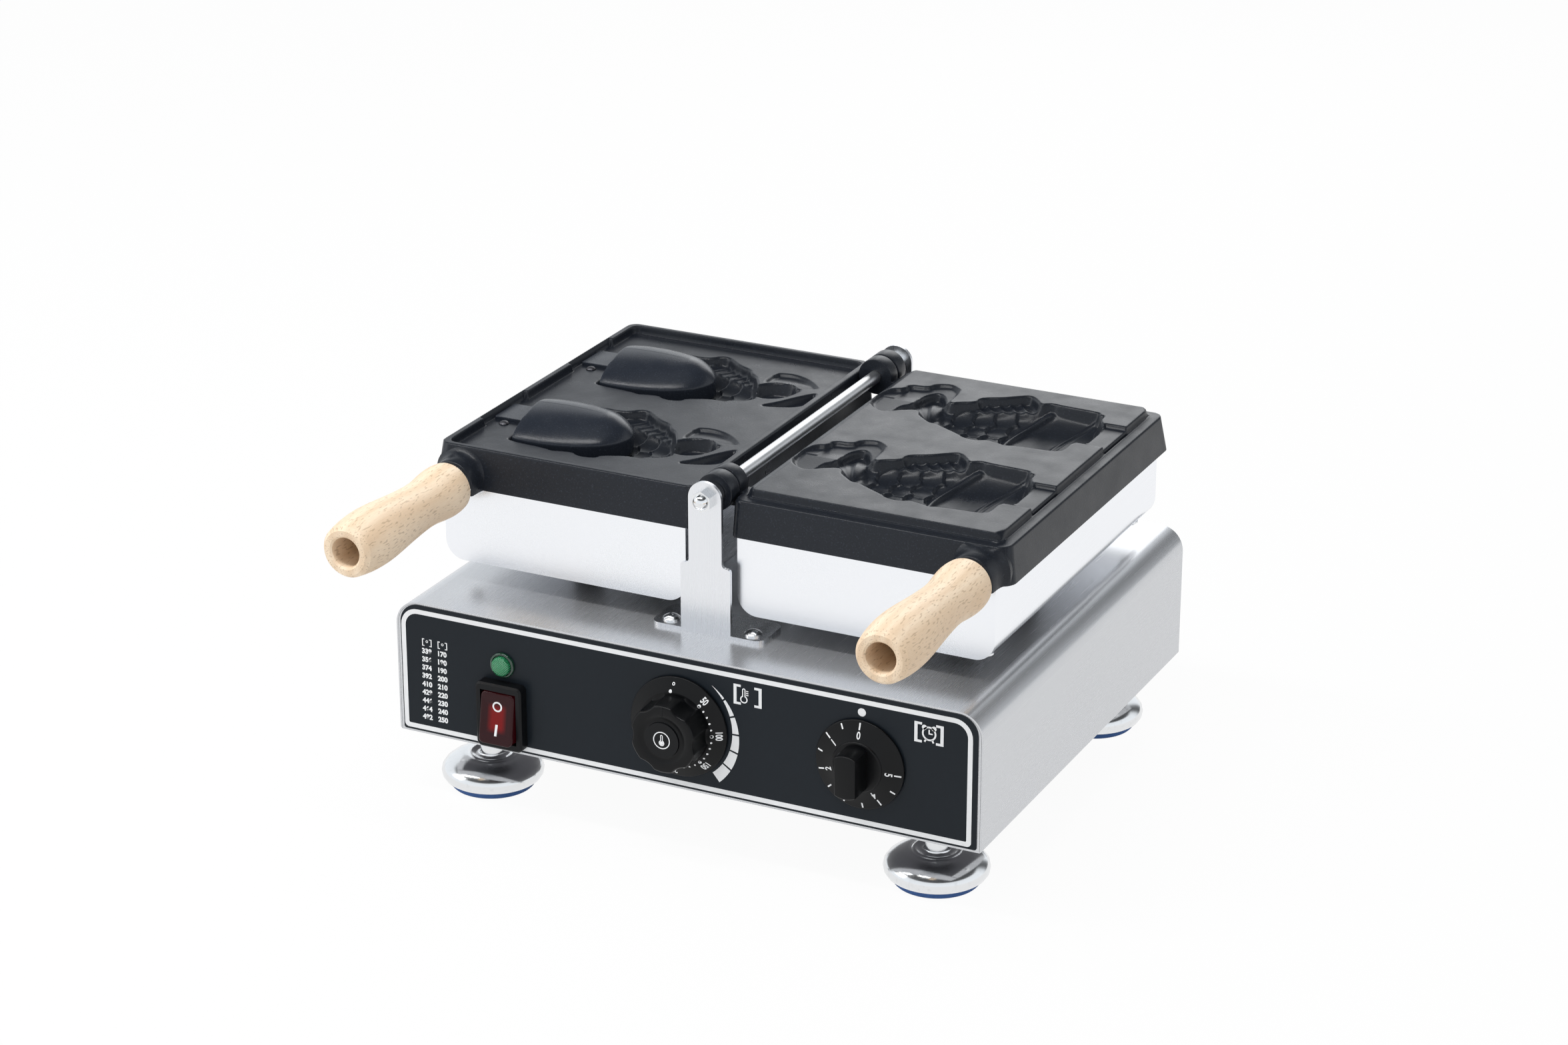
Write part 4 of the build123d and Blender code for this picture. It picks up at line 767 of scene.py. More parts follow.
def rectangle_inside(u, y, low, high, width, corner):
    """Distance inside a rounded rectangle that spans low to high, centred on the hinge's middle."""
    over_u = np.abs(u - (low + high) / 2) - (high - low) / 2 + corner
    over_y = np.abs(y - MIDDLE_Y) - width / 2 + corner
    outside = np.hypot(np.maximum(over_u, 0), np.maximum(over_y, 0))
    return corner - outside - np.minimum(np.maximum(over_u, over_y), 0)


def across_fish(y):
    """Distance of y from the middle of the nearer fish."""
    return np.where(np.abs(y - FISH_ROWS[0]) < np.abs(y - FISH_ROWS[1]), y - FISH_ROWS[0], y - FISH_ROWS[1])


def right_top(u, y, rise):
    """Height of the right casting's upper side."""
    edge_step = 0.7                 # a low border round the foot of the plate
    plate = rectangle_inside(u, y, *PLATE, 5.0)
    raised = eased(0.0, 1.0, plate)
    height = LEDGE_Z + (PLATE_Z - LEDGE_Z - edge_step) * raised
    height += edge_step * eased(-1.5, -1.1, plate) * eased(16.0, 19.0, u)
    return height - np.where(plate > 0, right_relief(u, across_fish(y), rise), 0)


def left_top(u, y, rise):
    """Height of the left casting's upper side."""
    tray = rectangle_inside(u, y, *TRAY, 5.0)
    v = across_fish(y)
    notch = np.minimum(np.minimum(u - 150, 160.2 - u), np.minimum(v + 20, 27 - v))
    sunk = np.maximum(eased(0.0, 1.1, tray), eased(0.0, 0.9, notch))
    return RIM_Z + (TRAY_Z - RIM_Z) * sunk - np.where(tray > 1, left_relief(u, v, rise), 0)


# ---- castings ----
def ruled_lines(low, high, fine, cell, creases):
    """Positions of a mesh's rows: dense where fine says, close at creases, and wide elsewhere."""
    steps = (-1.3, -0.9, -0.6, -0.35, -0.15, 0.1, 0.35, 0.6, 0.9, 1.3)
    edge_steps = (0.0, 0.12, 0.3, 0.55, 0.85, 1.2, 1.6)
    marks = [low + step for step in edge_steps] + [high - step for step in edge_steps]
    for crease in creases:
        marks += [crease + step for step in steps]
    for start, end in fine:
        marks += list(np.arange(start, end, cell))
    for mark in np.arange(low, high, 2.6):
        if not any(start < mark < end for start, end in fine):
            marks.append(mark)
    kept = [low]
    for mark in sorted(marks):
        if mark - kept[-1] > 0.1 and mark < high - 0.05:
            kept.append(mark)
    return np.array(kept + [high])


def round_corners(u, y, corner_near, corner_far):
    """Draw the square corners of the plan in to quarter circles."""
    half = MOULD_LENGTH / 2
    for end in (-1, 1):
        for wall_u, inward, radius in ((MOULD_NEAR, 1, corner_near), (MOULD_FAR, -1, corner_far)):
            a = (wall_u + inward * radius - u) * inward / radius
            b = (y - MIDDLE_Y - end * (half - radius)) * end / radius
            inside = (a > 0) & (b > 0)
            far = np.maximum(np.maximum(a, b), 1e-9)
            shrink = far / np.maximum(np.hypot(a, b), 1e-9)
            u = np.where(inside, wall_u + inward * radius - a * shrink * inward * radius, u)
            y = np.where(inside, MIDDLE_Y + end * (half - radius) + b * shrink * end * radius, y)
    return u, y


def carved_block(side, top, near, far, wide):
    """A casting: a fine grid lifted to its relief, with drafted walls extruded down from its edge."""
    settings = bpy.context.scene.waffle_moulds
    cell, lip = settings.cell / MM, settings.lip / MM
    half = MOULD_LENGTH / 2
    us = ruled_lines(MOULD_NEAR, MOULD_FAR, ((14.0, 157.5),), cell, (near, far))
    ys = ruled_lines(MIDDLE_Y - half, MIDDLE_Y + half, [(row - 38.0, row + 41.0) for row in FISH_ROWS],
                     cell, (MIDDLE_Y - wide / 2, MIDDLE_Y + wide / 2))
    deselect()
    bpy.ops.mesh.primitive_grid_add(x_subdivisions=len(us) - 1, y_subdivisions=len(ys) - 1, size=2)
    obj = bpy.context.object
    mesh = obj.data
    points = np.empty(len(mesh.vertices) * 3)
    mesh.vertices.foreach_get("co", points)
    points = points.reshape(-1, 3)
    column = np.rint((points[:, 0] + 1) / 2 * (len(us) - 1)).astype(int)
    row = np.rint((points[:, 1] + 1) / 2 * (len(ys) - 1)).astype(int)
    u, y = round_corners(us[column], ys[row], 5.0, 8.0)
    edge = rectangle_inside(u, y, MOULD_NEAR, MOULD_FAR, MOULD_LENGTH, 6.5)
    short = np.clip(lip - np.maximum(edge, 0), 0, lip)
    grid = np.empty((len(ys), len(us)))
    grid[row, column] = top(u, y, settings.scale_rise / MM) - (lip - np.sqrt(lip**2 - short**2))
    blurred = grid.copy()
    blurred[1:-1, 1:-1] = (grid[1:-1, 1:-1] * 4 + grid[:-2, 1:-1] + grid[2:, 1:-1] + grid[1:-1, :-2]
                           + grid[1:-1, 2:]) / 8
    points[:, 0], points[:, 1], points[:, 2] = side * u * MM, y * MM, blurred[row, column] * MM
    mesh.vertices.foreach_set("co", points.ravel())
    mesh.update()
    count = len(mesh.vertices)
    bpy.ops.object.mode_set(mode="EDIT")
    bpy.ops.mesh.select_mode(type="EDGE")
    bpy.ops.mesh.select_all(action="DESELECT")
    bpy.ops.mesh.select_non_manifold()
    bpy.ops.mesh.extrude_edges_move(TRANSFORM_OT_translate={"value": (0, 0, -0.01)})
    bpy.ops.mesh.edge_face_add()
    bpy.ops.object.mode_set(mode="OBJECT")
    spread = (AXIS_Z - MOULD_Z) * tan(radians(DRAFT))
    for vertex in mesh.vertices[count:]:
        u_in = abs(vertex.co.x) / MM
        y_in = vertex.co.y / MM - MIDDLE_Y
        u_out = MOULD_NEAR + (u_in - MOULD_NEAR) * (1 + spread / (MOULD_FAR - MOULD_NEAR))
        y_out = MIDDLE_Y + y_in * (1 + 2 * spread / MOULD_LENGTH)
        vertex.co = (side * u_out * MM, y_out * MM, MOULD_Z * MM)
    return tidy(obj)


def knuckle(side, near, wide):
    """One hinge knuckle with the arm that carries it, bored for the rod."""
    radius, arm, bore = 10.0, 13.0, 3.55
    drop = 1.5 if side > 0 else 0.6
    profile = (arc(radius, -degrees(asin(drop / radius)), 270, 47)
               + [(0.0, -radius), (arm, -radius), (arm, -drop)])
    outline = [(side * x, z) for x, z in (profile if side > 0 else reversed(profile))]
    piece = flat_piece("knuckle", [outline, ring(bore, 32)], wide, 0.45)
    return place(piece, facing_cook(0, near + wide / 2, AXIS_Z))


def handle_boss(side):
    """The round-topped boss that takes the handle, flared where it leaves the wall."""
    half, rise = 12.9, 17.9
    loop = arc(half, 0, 180, 23, (0.0, rise - half)) + [(-half, 0.0), (half, 0.0)]
    top = (LEDGE_Z if side > 0 else RIM_Z) - 0.4
    rings = []
    for back, grow in ((0.0, -1.4), (0.25, -0.75), (0.9, -0.4), (6.5, -0.2), (8.8, 0.1), (10.4, 0.6),
                       (11.6, 1.4), (12.6, 2.6), (13.4, 3.6), (16.0, 3.6)):
        wider, taller = (half + grow) / half, (rise + grow) / rise
        rings.append([(side * HANDLE_X + x * wider, BOSS_Y + back, min(MOULD_Z + max(z, 0.0) * taller, top))
                      for x, z in loop])
    return ringed_solid("boss", rings, 0.00001)


class WAFFLE_OT_moulds(bpy.types.Operator):
    """Carve both castings and hang them on their halves."""

    bl_idname = "waffle.moulds"
    bl_label = "Carve Moulds"

    def execute(self, context):
        for half, side, top, border, near, wide in (("right", 1, right_top, PLATE, 87.0, 8.4),
                                                    ("left", -1, left_top, TRAY, 96.8, 9.2)):
            pieces = [carved_block(side, top, *border), handle_boss(side)]
            for start in (-near - wide, near):
                pieces.append(knuckle(side, MIDDLE_Y + start, wide))
            casting = paint(smooth(join(half + "_casting", pieces), 48), "mould_coating")
            fit(casting, half + "_half", "mould_coating", half + "_mould")
        return {"FINISHED"}


# ---- mouth cores ----
CORE_OUTLINE = (
    (136.4, -28.0), (135.4, -29.2), (127, -30.2), (112, -29.6), (96, -25), (83, -16), (78.0, -3), (82, 9),
    (94, 20), (108, 25), (122, 26.6), (131, 26.4), (136.4, 23), (136.4, 18))
CORE_ROOT = 136.4               # hinge to where the tongues end against their tabs
CORE_CROWN = 11.2               # height of the domes' spine at its highest


def smooth_loop(points, count):
    """A closed loop of evenly spaced points on the curve that corner cutting gives."""
    loop = corners_cut(points, 4)
    loop = np.vstack([loop, loop[:1]])
    along = np.r_[0, np.cumsum(np.hypot(*np.diff(loop, axis=0).T))]
    wanted = np.linspace(0, along[-1], count, endpoint=False)
    return np.stack([np.interp(wanted, along, loop[:, k]) for k in (0, 1)], 1)


class WAFFLE_OT_cores(bpy.types.Operator):
    """Crown the tongues that hold the mouths open."""

    bl_idname = "waffle.cores"
    bl_label = "Make Cores"

    def execute(self, context):
        for end, row in zip(("front", "rear"), FISH_ROWS):
            tongue = paint(self.tongue(end + "_tongue", row), "core_coating")
            fit(tongue, "left_half", "core_coating", end + "_mouth_core")
        return {"FINISHED"}

    def tongue(self, name, row):
        """Rings that run up the side and over a dome whose spine ends at the root, with the tab."""
        edge = smooth_loop(CORE_OUTLINE, 170)
        edge = edge[(edge[:, 0] < CORE_ROOT - 0.1) | (edge[:, 1] < -27.0) | (edge[:, 1] > 17.0)]
        spine = np.stack([np.clip(edge[:, 0], 97.0, CORE_ROOT), np.full(len(edge), 1.0)], 1)
        crown = CORE_CROWN - 0.002 * (118.0 - spine[:, 0])**2
        levels = [(0.04, -9.0), (0.0, -0.8), (0.0, 0.1)]
        levels += [(part, 0.1 + crown * (1 - (1 - part)**2)**0.78) for part in (
            0.008, 0.02, 0.035, 0.055, 0.08, 0.11, 0.15, 0.2, 0.27, 0.36, 0.47, 0.6, 0.75, 0.9, 0.995)]
        rings = []
        for inward, height in levels:
            u, v = (edge + (spine - edge) * inward).T
            rings.append(np.stack([-u, row + v, TRAY_Z + height + 0 * u], 1).tolist())
        pieces = [ringed_solid(name, rings)]
        for near, low_v, high_v, high in ((160.0, -17.8, 21.8, -0.25), (158.2, -8.2, 13.2, 1.95)):
            low = -2.0
            outline = rounded_loop(-near, row + low_v, -134.0, row + high_v, (0.4,) * 4)
            slab = flat_piece("tab", [outline], high - low, 0.35)
            middle = (TRAY_Z + (low + high) / 2) * MM
            pieces.append(place(slab, Matrix.Translation((0, 0, middle)) @ Matrix.Scale(MM, 4)))
        return smooth(join(name, pieces), 42)


# ---- prints on the panel and the dials ----
INK = 0.06                      # thickness of a print


def moved(x, z, turn):
    """A drawing turned clockwise in degrees, then moved."""
    return Matrix.Translation((x, z, 0)) @ Matrix.Rotation(-radians(turn), 4, "Z")


def print_piece(loops, x=0.0, z=0.0, turn=0.0):
    """One flat print, drawn round its own centre."""
    return place(flat_piece("print", loops, INK), moved(x, z, turn))


def figures(text, height, x, z, turn=0.0, narrow=1.0, bold=0.0):
    """Plain figures of a given height, centred on x and z."""
    curve = bpy.data.curves.new("figures", "FONT")
    curve.body = text
    curve.extrude = INK / 2 / height
    curve.offset = bold
    obj = as_mesh("figures", curve)
    xs, ys, _ = zip(*(vertex.co for vertex in obj.data.vertices))
    size = height / (max(ys) - min(ys))
    centred = Matrix.Translation((-(max(xs) + min(xs)) / 2, -(max(ys) + min(ys)) / 2, 0))
    return place(obj, moved(x, z, turn) @ Matrix.Diagonal((size * narrow, size, height, 1)) @ centred)


def ink_on(name, pieces, body, slot, centre, out=lambda radius: 0.04):
    """Join prints drawn in X and Z, stand them off the label by out(radius), and paint them white."""
    printed = place(join(name, pieces), facing_cook(centre[0], LABEL_Y, centre[1]))
    for vertex in printed.data.vertices:
        radius = hypot(vertex.co.x / MM - centre[0], vertex.co.z / MM - centre[1])
        vertex.co.y -= out(radius) * MM
    return fit(paint(printed, "white_ink"), body, slot)


def on_circle(radius, turn):
    """A point at a clockwise angle from the top."""
    return radius * sin(radians(turn)), radius * cos(radians(turn))


def lean_of(half, radius):
    """Angle, in degrees, at which a circle meets a bar of a given half width."""
    return degrees(asin(half / radius))


def brackets(x, z, wide=7.9, tall=5.5, inner_wide=6.2, inner_tall=4.2, reach=3.8):
    """A pair of square brackets."""
    pieces = []
    for side in (-1, 1):
        hook = ((wide, tall), (wide, -tall), (reach, -tall), (reach, -inner_tall),
                (inner_wide, -inner_tall), (inner_wide, inner_tall), (reach, inner_tall), (reach, tall))
        pieces.append(print_piece([[(side * across, up) for across, up in hook]], x, z))
    return pieces


def thermometer(x, z, size, ticks=(2.6, 3.7, 4.8)):
    """A thermometer with its ticks, its bulb centred on x and z."""
    def tube(half, bulb, bulb_steps, top_steps):
        """Outline of a bulb with its round-topped stem."""
        lean = lean_of(half, bulb)
        return arc(bulb, 90 + lean, 450 - lean, bulb_steps) + arc(half, 0, 180, top_steps, (0, 5.2))
    drawn = [[tube(0.95, 2.1, 36, 9), tube(0.4, 1.45, 30, 6)]]
    drawn += [[box_loop(1.3, tick - 0.25, 2.6, tick + 0.25)] for tick in ticks]
    return [print_piece([[(px * size, pz * size) for px, pz in loop] for loop in loops], x, z)
            for loops in drawn]


def clock(x, z):
    """An alarm clock with bells, feet and hands."""
    pieces = [print_piece([ring(3.9, 40), ring(3.0, 36)], x, z),
              print_piece([box_loop(-0.35, -0.35, 0.35, 2.2)], x, z),
              print_piece([box_loop(0.35, -0.35, 1.9, 0.35)], x, z)]
    for side in (-1, 1):
        pieces.append(print_piece([ring(1.35, 20)], x + side * 2.6, z + 3.1))
        pieces.append(print_piece([box_loop(-0.45, -0.9, 0.45, 0.9)], x + side * 2.0, z - 3.9, -side * 30))
    return pieces


class WAFFLE_OT_label(bpy.types.Operator):
    """Print the border, number table, scale and pictograms on the panel."""

    bl_idname = "waffle.label"
    bl_label = "Print Panel"

    def execute(self, context):
        line = context.scene.waffle_panel.border / MM
        left, bottom, right, top = -164.4, 2.4, 162.0, 71.0
        outer = rounded_loop(left, bottom, right, top, (2.4, 2.4, 10.0, 10.0))
        inner = rounded_loop(left + line, bottom + line, right - line, top - line, (0.8, 0.8, 7.4, 7.4))
        for name, pieces in (
                ("border_line", [print_piece([outer, inner])]),
                ("number_table", self.number_table()),
                ("heat_wedge", self.heat_wedge()),
                ("heat_sign", brackets(38.5, 60.0) + thermometer(36.4, 57.7, 1.0)),
                ("time_sign", brackets(138.4, 59.7) + clock(138.5, 59.7)),
                ("index_dot", [print_piece([ring(2.2, 32)], 101.9, 63.9)])):
            ink_on(name, pieces, "base", "panel_label", (0, BASE_Z))
        return {"FINISHED"}

    def number_table(self):
        """Two columns of temperatures: one in Fahrenheit and one in Celsius."""
        coolest, top, spacing, slide = 170, 48.1, 4.73, 0.11
        pieces = []
        for row in range(9):
            celsius = coolest + 10 * row
            for number, x in ((round(celsius * 1.8 + 32), -149.4), (celsius, -140.0)):
                pieces.append(figures(str(number), 3.1, x - slide * row, top - spacing * row, bold=0.045))
        for x in (-149.2, -139.8):
            pieces += brackets(x, 53.0, 2.9, 2.1, 2.35, 1.6, 1.5)
            pieces.append(print_piece([ring(0.75, 20), ring(0.4, 16)], x, 53.6))
        return pieces

    def heat_wedge(self):
        """Six blocks that widen clockwise round the temperature dial."""
        start, sweep, radius, height, blocks, gap = 55.4, 107.0, 31.7, 36.0, 6, 0.008

        def edge(part, far):
            """A point part of the way round the scale."""
            turn = radians(start - sweep * part)
            return far * cos(turn), height + far * sin(turn)
        pieces = []
        for block in range(blocks):
            parts = np.linspace(block / blocks + gap, (block + 1) / blocks - gap, 9)
            pieces.append(print_piece([
                [edge(part, radius + 3.6 * part) for part in parts]
                + [edge(part, radius - 2.5 * (1 - (1 - part)**2)) for part in parts[::-1]]]))
        return pieces


# ---- dials, switch and lamp ----
SKIRT_FRONT = 5.8               # front of the temperature dial's sloping skirt, out from the label
DIAL_REACH = 20.0               # front of both grips


def spun(name, centre, profile, steps, reshape=None):
    """A solid turned round an axis square to the panel; profile runs (out, radius) from back to front."""
    rings = []
    for out, radius in profile:
        turns = [2 * pi * i / steps for i in range(steps)]
        radii = [reshape(out, radius, turn) if reshape else radius for turn in turns]
        rings.append([(centre.x + far * cos(turn), LABEL_Y - out, centre.z + far * sin(turn))
                      for turn, far in zip(turns, radii)])
    return ringed_solid(name, rings)


def rounding(out, radius, size, steps=5):
    """Profile points round a front outer edge whose corner is at (out, radius)."""
    return [(out - size + forward, radius - size + across) for across, forward in arc(size, 0, 90, steps)]


def fluted(out, radius, turn):
    """Radius of the temperature grip: six wide, shallow flutes, fading out on its front face."""
    grip, reach, cutter = 19.0, 30.8, 13.25
    off = (turn + pi / 6) % (pi / 3) - pi / 6
    under = cutter**2 - (reach * sin(off))**2
    if under <= 0 or out <= SKIRT_FRONT + 0.3:
        return radius
    dent = grip - (reach * cos(off) - under**0.5)
    return radius - max(dent, 0.0) * min(max((radius - 14.0) / 4.0, 0.0), 1.0)


def skirt_slope(radius):
    """How far the temperature dial's skirt stands out at a radius."""
    return float(np.interp(radius, (20.5, 26.9), (SKIRT_FRONT, 2.2))) + 0.03


def cone_slope(radius):
    """How far the timer dial's cone stands out at a radius."""
    return float(np.interp(radius, (13.9, 23.7), (4.85, 2.1))) + 0.03


class WAFFLE_OT_controls(bpy.types.Operator):
    """Turn the dials, mould the rocker and facet the lamp."""

    bl_idname = "waffle.controls"
    bl_label = "Make Controls"

    def execute(self, context):
        self.temperature_dial()
        self.timer_dial()
        self.rocker()
        self.lamp()
        return {"FINISHED"}

    def temperature_dial(self):
        """Skirt with its scale, fluted grip with a dished face, and a cap with its sign."""
        middle = centre_of("temperature_knob")
        centre = (middle.x, middle.z)
        skirt = [(0.6, 20.0), (0.6, 27.3), (0.8, 27.5)] + rounding(2.2, 27.5, 0.7)
        skirt += [(SKIRT_FRONT - 0.05, 20.6), (SKIRT_FRONT, 20.3), (SKIRT_FRONT, 19.0)]
        grip = [(SKIRT_FRONT + 0.4, 19.0), (10.0, 18.9), (15.0, 18.7)] + rounding(DIAL_REACH, 18.5, 1.5, 7)
        face = [(DIAL_REACH - back, radius) for back, radius in (
            (0, 15.6), (0.05, 13.6), (0.35, 12.8), (0.85, 11.8), (1.05, 10.9), (0.95, 10.1), (0.75, 9.65),
            (0.9, 9.5), (1.2, 9.5))]
        knob = smooth(spun("temperature_grip", middle, skirt + grip + face, 240, fluted), 40)
        fit(paint(knob, "knob_plastic"), "temperature_dial", "knob_plastic", "temperature_knob")
        pointer = rounded_loop(-0.45, 13.0, 0.45, 18.3, (0.4, 0.4, 0.2, 0.2))
        notch = place(flat_piece("grip_notch", [pointer], 0.12),
                      facing_cook(centre[0], LABEL_Y - DIAL_REACH, centre[1]))
        fit(paint(notch, "knob_cap"), "temperature_dial", "knob_plastic")
        scale = []
        first, per_ten = -6.7, 9.64
        for step in (0, *range(5, 26)):
            turn = first + per_ten * step
            whole = step % 5 == 0
            scale.append(print_piece([ring(0.9 if whole else 0.5, 20)], *on_circle(20.9, turn)))
            if whole and step:
                scale.append(figures(str(10 * step), 3.3, *on_circle(24.2, turn), turn, 0.8, 0.03))
        scale.append(print_piece([ring(0.8, 20), ring(0.4, 16)], *on_circle(24.4, -3.5)))
        ink_on("temperature_scale", scale, "temperature_dial", "knob_plastic", centre, skirt_slope)
        sign = [print_piece([ring(4.75, 48), ring(4.2, 44)]), *thermometer(0.0, -1.5, 0.75, ()),
                print_piece([ring(1.0, 20)], 0.0, -1.5)]
        ink_on("temperature_sign", sign, "temperature_dial", "knob_cap", centre,
               lambda radius: DIAL_REACH + 0.32)

    def timer_dial(self):
        """Cone with its scale and a bar grip on a low step."""
        middle = centre_of("timer_knob")
        centre = (middle.x, middle.z)
        cone = ([(0.6, 14.0), (0.6, 24.1), (0.8, 24.25)] + rounding(2.1, 24.25, 0.7)
                + [(4.75, 14.0), (4.9, 13.7), (5.5, 13.5), (5.75, 13.2), (5.8, 12.6)])
        half_width, radius, foot = 5.75, 11.8, 5.0
        lean = lean_of(half_width, radius)
        bar = arc(radius, 90 - lean, 90 + lean, 9) + arc(radius, 270 - lean, 270 + lean, 9)
        grip = flat_piece("grip", [bar], DIAL_REACH - foot, 0.9)
        place(grip, facing_cook(centre[0], LABEL_Y - (DIAL_REACH + foot) / 2, centre[1]))
        knob = smooth(join("timer_grip", [spun("cone", middle, cone, 144), grip]), 40)
        fit(paint(knob, "knob_plastic"), "timer_dial", "knob_plastic", "timer_knob")
        scale = []
        for half_minutes in range(11):
            turn = 361.0 - 26.65 * half_minutes
            whole = half_minutes % 2 == 0
            far, half = (21.4, 1.75) if whole else (21.7, 1.45)
            scale.append(print_piece([box_loop(-0.4, -half, 0.4, half)], *on_circle(far, turn), turn))
            if whole:
                number = str(half_minutes // 2)
                scale.append(figures(number, 3.9, *on_circle(16.9, turn), turn, 0.8, 0.02))
        ink_on("timer_scale", scale, "timer_dial", "knob_plastic", centre, cone_slope)

    def rocker(self):
        """Smoky lens over the switch, hollowed between its two ends, with its two marks."""
        middle = centre_of("switch_rocker")
        half_x, half_z = 9.9, 13.8
        pivot = LABEL_Y - 3.0

        def forward(z):
            """How far the lens stands out in front of the pivot, with its lower end pushed out."""
            return 4.4 + 1.9 * (abs(z) / half_z)**1.6 - tan(radians(9.5)) * z

        def drawn_in(part, amount):
            """A side point moved straight in by an amount."""
            return part - amount * (1 if part > 0 else -1) if abs(part) > 0.01 else part

        rings = []
        for out, shrink in ((-6.0, 1.0), (-1.0, 1.0), (-0.45, 0.985), (-0.1, 0.95), (0.0, 0.9), (0.0, 0.75),
                            (0.0, 0.5), (0.0, 0.25)):
            outline = rounded_loop(-half_x, -half_z, half_x, half_z, (2.6,) * 4, 6)
            if shrink > 0.9:
                outline = [[drawn_in(part, half_x * (1 - shrink)) for part in point] for point in outline]
            else:
                outline = [[part * shrink for part in point] for point in outline]
            rings.append([(middle.x + x, pivot - forward(z) - out, middle.z + z) for x, z in outline])
        lens = smooth(ringed_solid("rocker_lens", rings), 50)
        fit(paint(lens, "red_rocker"), "power_rocker", "red_rocker", "switch_rocker")
        marks = [print_piece([ring(2.85, 36), ring(1.95, 32)], 0, 6.3),
                 print_piece([box_loop(-0.7, -2.9, 0.7, 2.9)], 0, -6.3)]
        printed = place(join("rocker_marks", marks), facing_cook(middle.x, pivot, middle.z))
        for vertex in printed.data.vertices:
            vertex.co.y -= (forward(vertex.co.z / MM - middle.z) + 0.05) * MM
        fit(paint(printed, "white_ink"), "power_rocker", "red_rocker")

    def lamp(self):
        """Green lamp: a round rim and a faceted dome."""
        middle = centre_of("lamp_bezel")
        rim = [(-4.0, 6.2), (0.0, 6.3), (0.05, 7.0), *rounding(1.7, 7.0, 0.7), (1.75, 5.9), (1.2, 5.55),
               (0.0, 5.5)]
        shell = smooth(spun("lamp_rim", middle, rim, 64), 40)
        fit(paint(shell, "green_rim"), "base", "green_lens", "lamp_bezel")
        front, radius, bulge = 3.0, 5.2, 1.6
        dome = [(-6.0, 5.3), (1.9, 5.3), (front, radius)]
        for rise in (12, 25, 40, 55, 70, 82):
            dome.append((front + bulge * sin(radians(rise)), radius * cos(radians(rise))))
        lens = smooth(spun("lamp_dome", middle, dome, 64), 60)
        fit(paint(lens, "green_lens"), "base", "green_lens", "lamp_lens")


# ---- feet ----
class WAFFLE_OT_turned(bpy.types.Operator):
    """Turn the bells of the feet."""

    bl_idname = "waffle.turned"
    bl_label = "Turn Feet"

    def execute(self, context):
        bell = [(3.0, 22.0), (3.0, 22.6), (3.4, 24.2), (4.6, 26.0), (6.4, 27.1), (8.4, 27.4), (10.4, 26.9),
                (12.3, 25.5), (14.0, 23.3), (15.4, 20.6), (16.4, 17.8), (16.9, 15.4), (17.0, 13.4),
                (17.3, 12.9), (17.8, 12.5), (18.1, 11.8), (18.0, 11.0), (17.5, 10.2), (17.1, 9.0),
                (17.1, 7.4), (17.5, 6.7), (18.4, 6.4), (25.0, 6.4)]
        for foot in ("front_left_foot", "rear_left_foot", "front_right_foot", "rear_right_foot"):
            node = foot + "_bell"
            middle, top = centre_of(node), node_box(node)[1].z
            rings = [[(middle.x + x, middle.y + y, up) for x, y in ring(radius, 96)]
                     for up, radius in bell + [(top, 6.4), (top, 2.0)]]
            shape = smooth(ringed_solid(foot.replace("foot", "bell"), rings), 50)
            fit(paint(shape, "foot_chrome"), foot, "foot_chrome", node)
        return {"FINISHED"}


# ---- finishes for the solids that keep their shape ----
class WAFFLE_OT_finishes(bpy.types.Operator):
    """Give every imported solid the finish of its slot."""

    bl_idname = "waffle.finishes"
    bl_label = "Paint Solids"

    def execute(self, context):
        for node in NODES.values():
            for index, material in enumerate(node.data.materials):
                node.data.materials[index] = finish_of(material.name.split(".")[0])
        # The rod takes a near-white steel as a painted highlight; the core screws take a dark steel of
        # their own.
        for name, finish in (("hinge_rod", "rod_steel"), ("core_screws", "dull_steel"),
                             # The bottom plate takes the dark steel as painted shade, for the shadow under
                             # the housing.
                             ("bottom_plate", "dull_steel")):
            NODES[name].data.materials[0] = finish_of(finish)
        return {"FINISHED"}


# ---- stage ----
def mix_shaders(tree, mask, plain, marked):
    """One shader into another under a mask."""
    return make_node(tree, "ShaderNodeMixShader", {0: mask, 1: plain, 2: marked}).outputs[0]


def background(tree, tint, strength):
    """One part of the world's light."""
    return make_node(tree, "ShaderNodeBackground", {"Color": tint, "Strength": strength}).outputs[0]


def grey_ramp(tree, place_along, levels, tint=(1.0, 1.0, 1.0)):
    """A ramp of tinted greys; levels runs (place, grey) from 0 to 1."""
    ramp = make_node(tree, "ShaderNodeValToRGB", {"Fac": place_along})
    stops = ramp.color_ramp.elements
    for spot, level in levels:
        stop = stops.new(spot) if spot not in (0.0, 1.0) else stops[0 if spot == 0.0 else -1]
        stop.color = rgba(shaded(tint, level))
    return ramp.outputs[0]


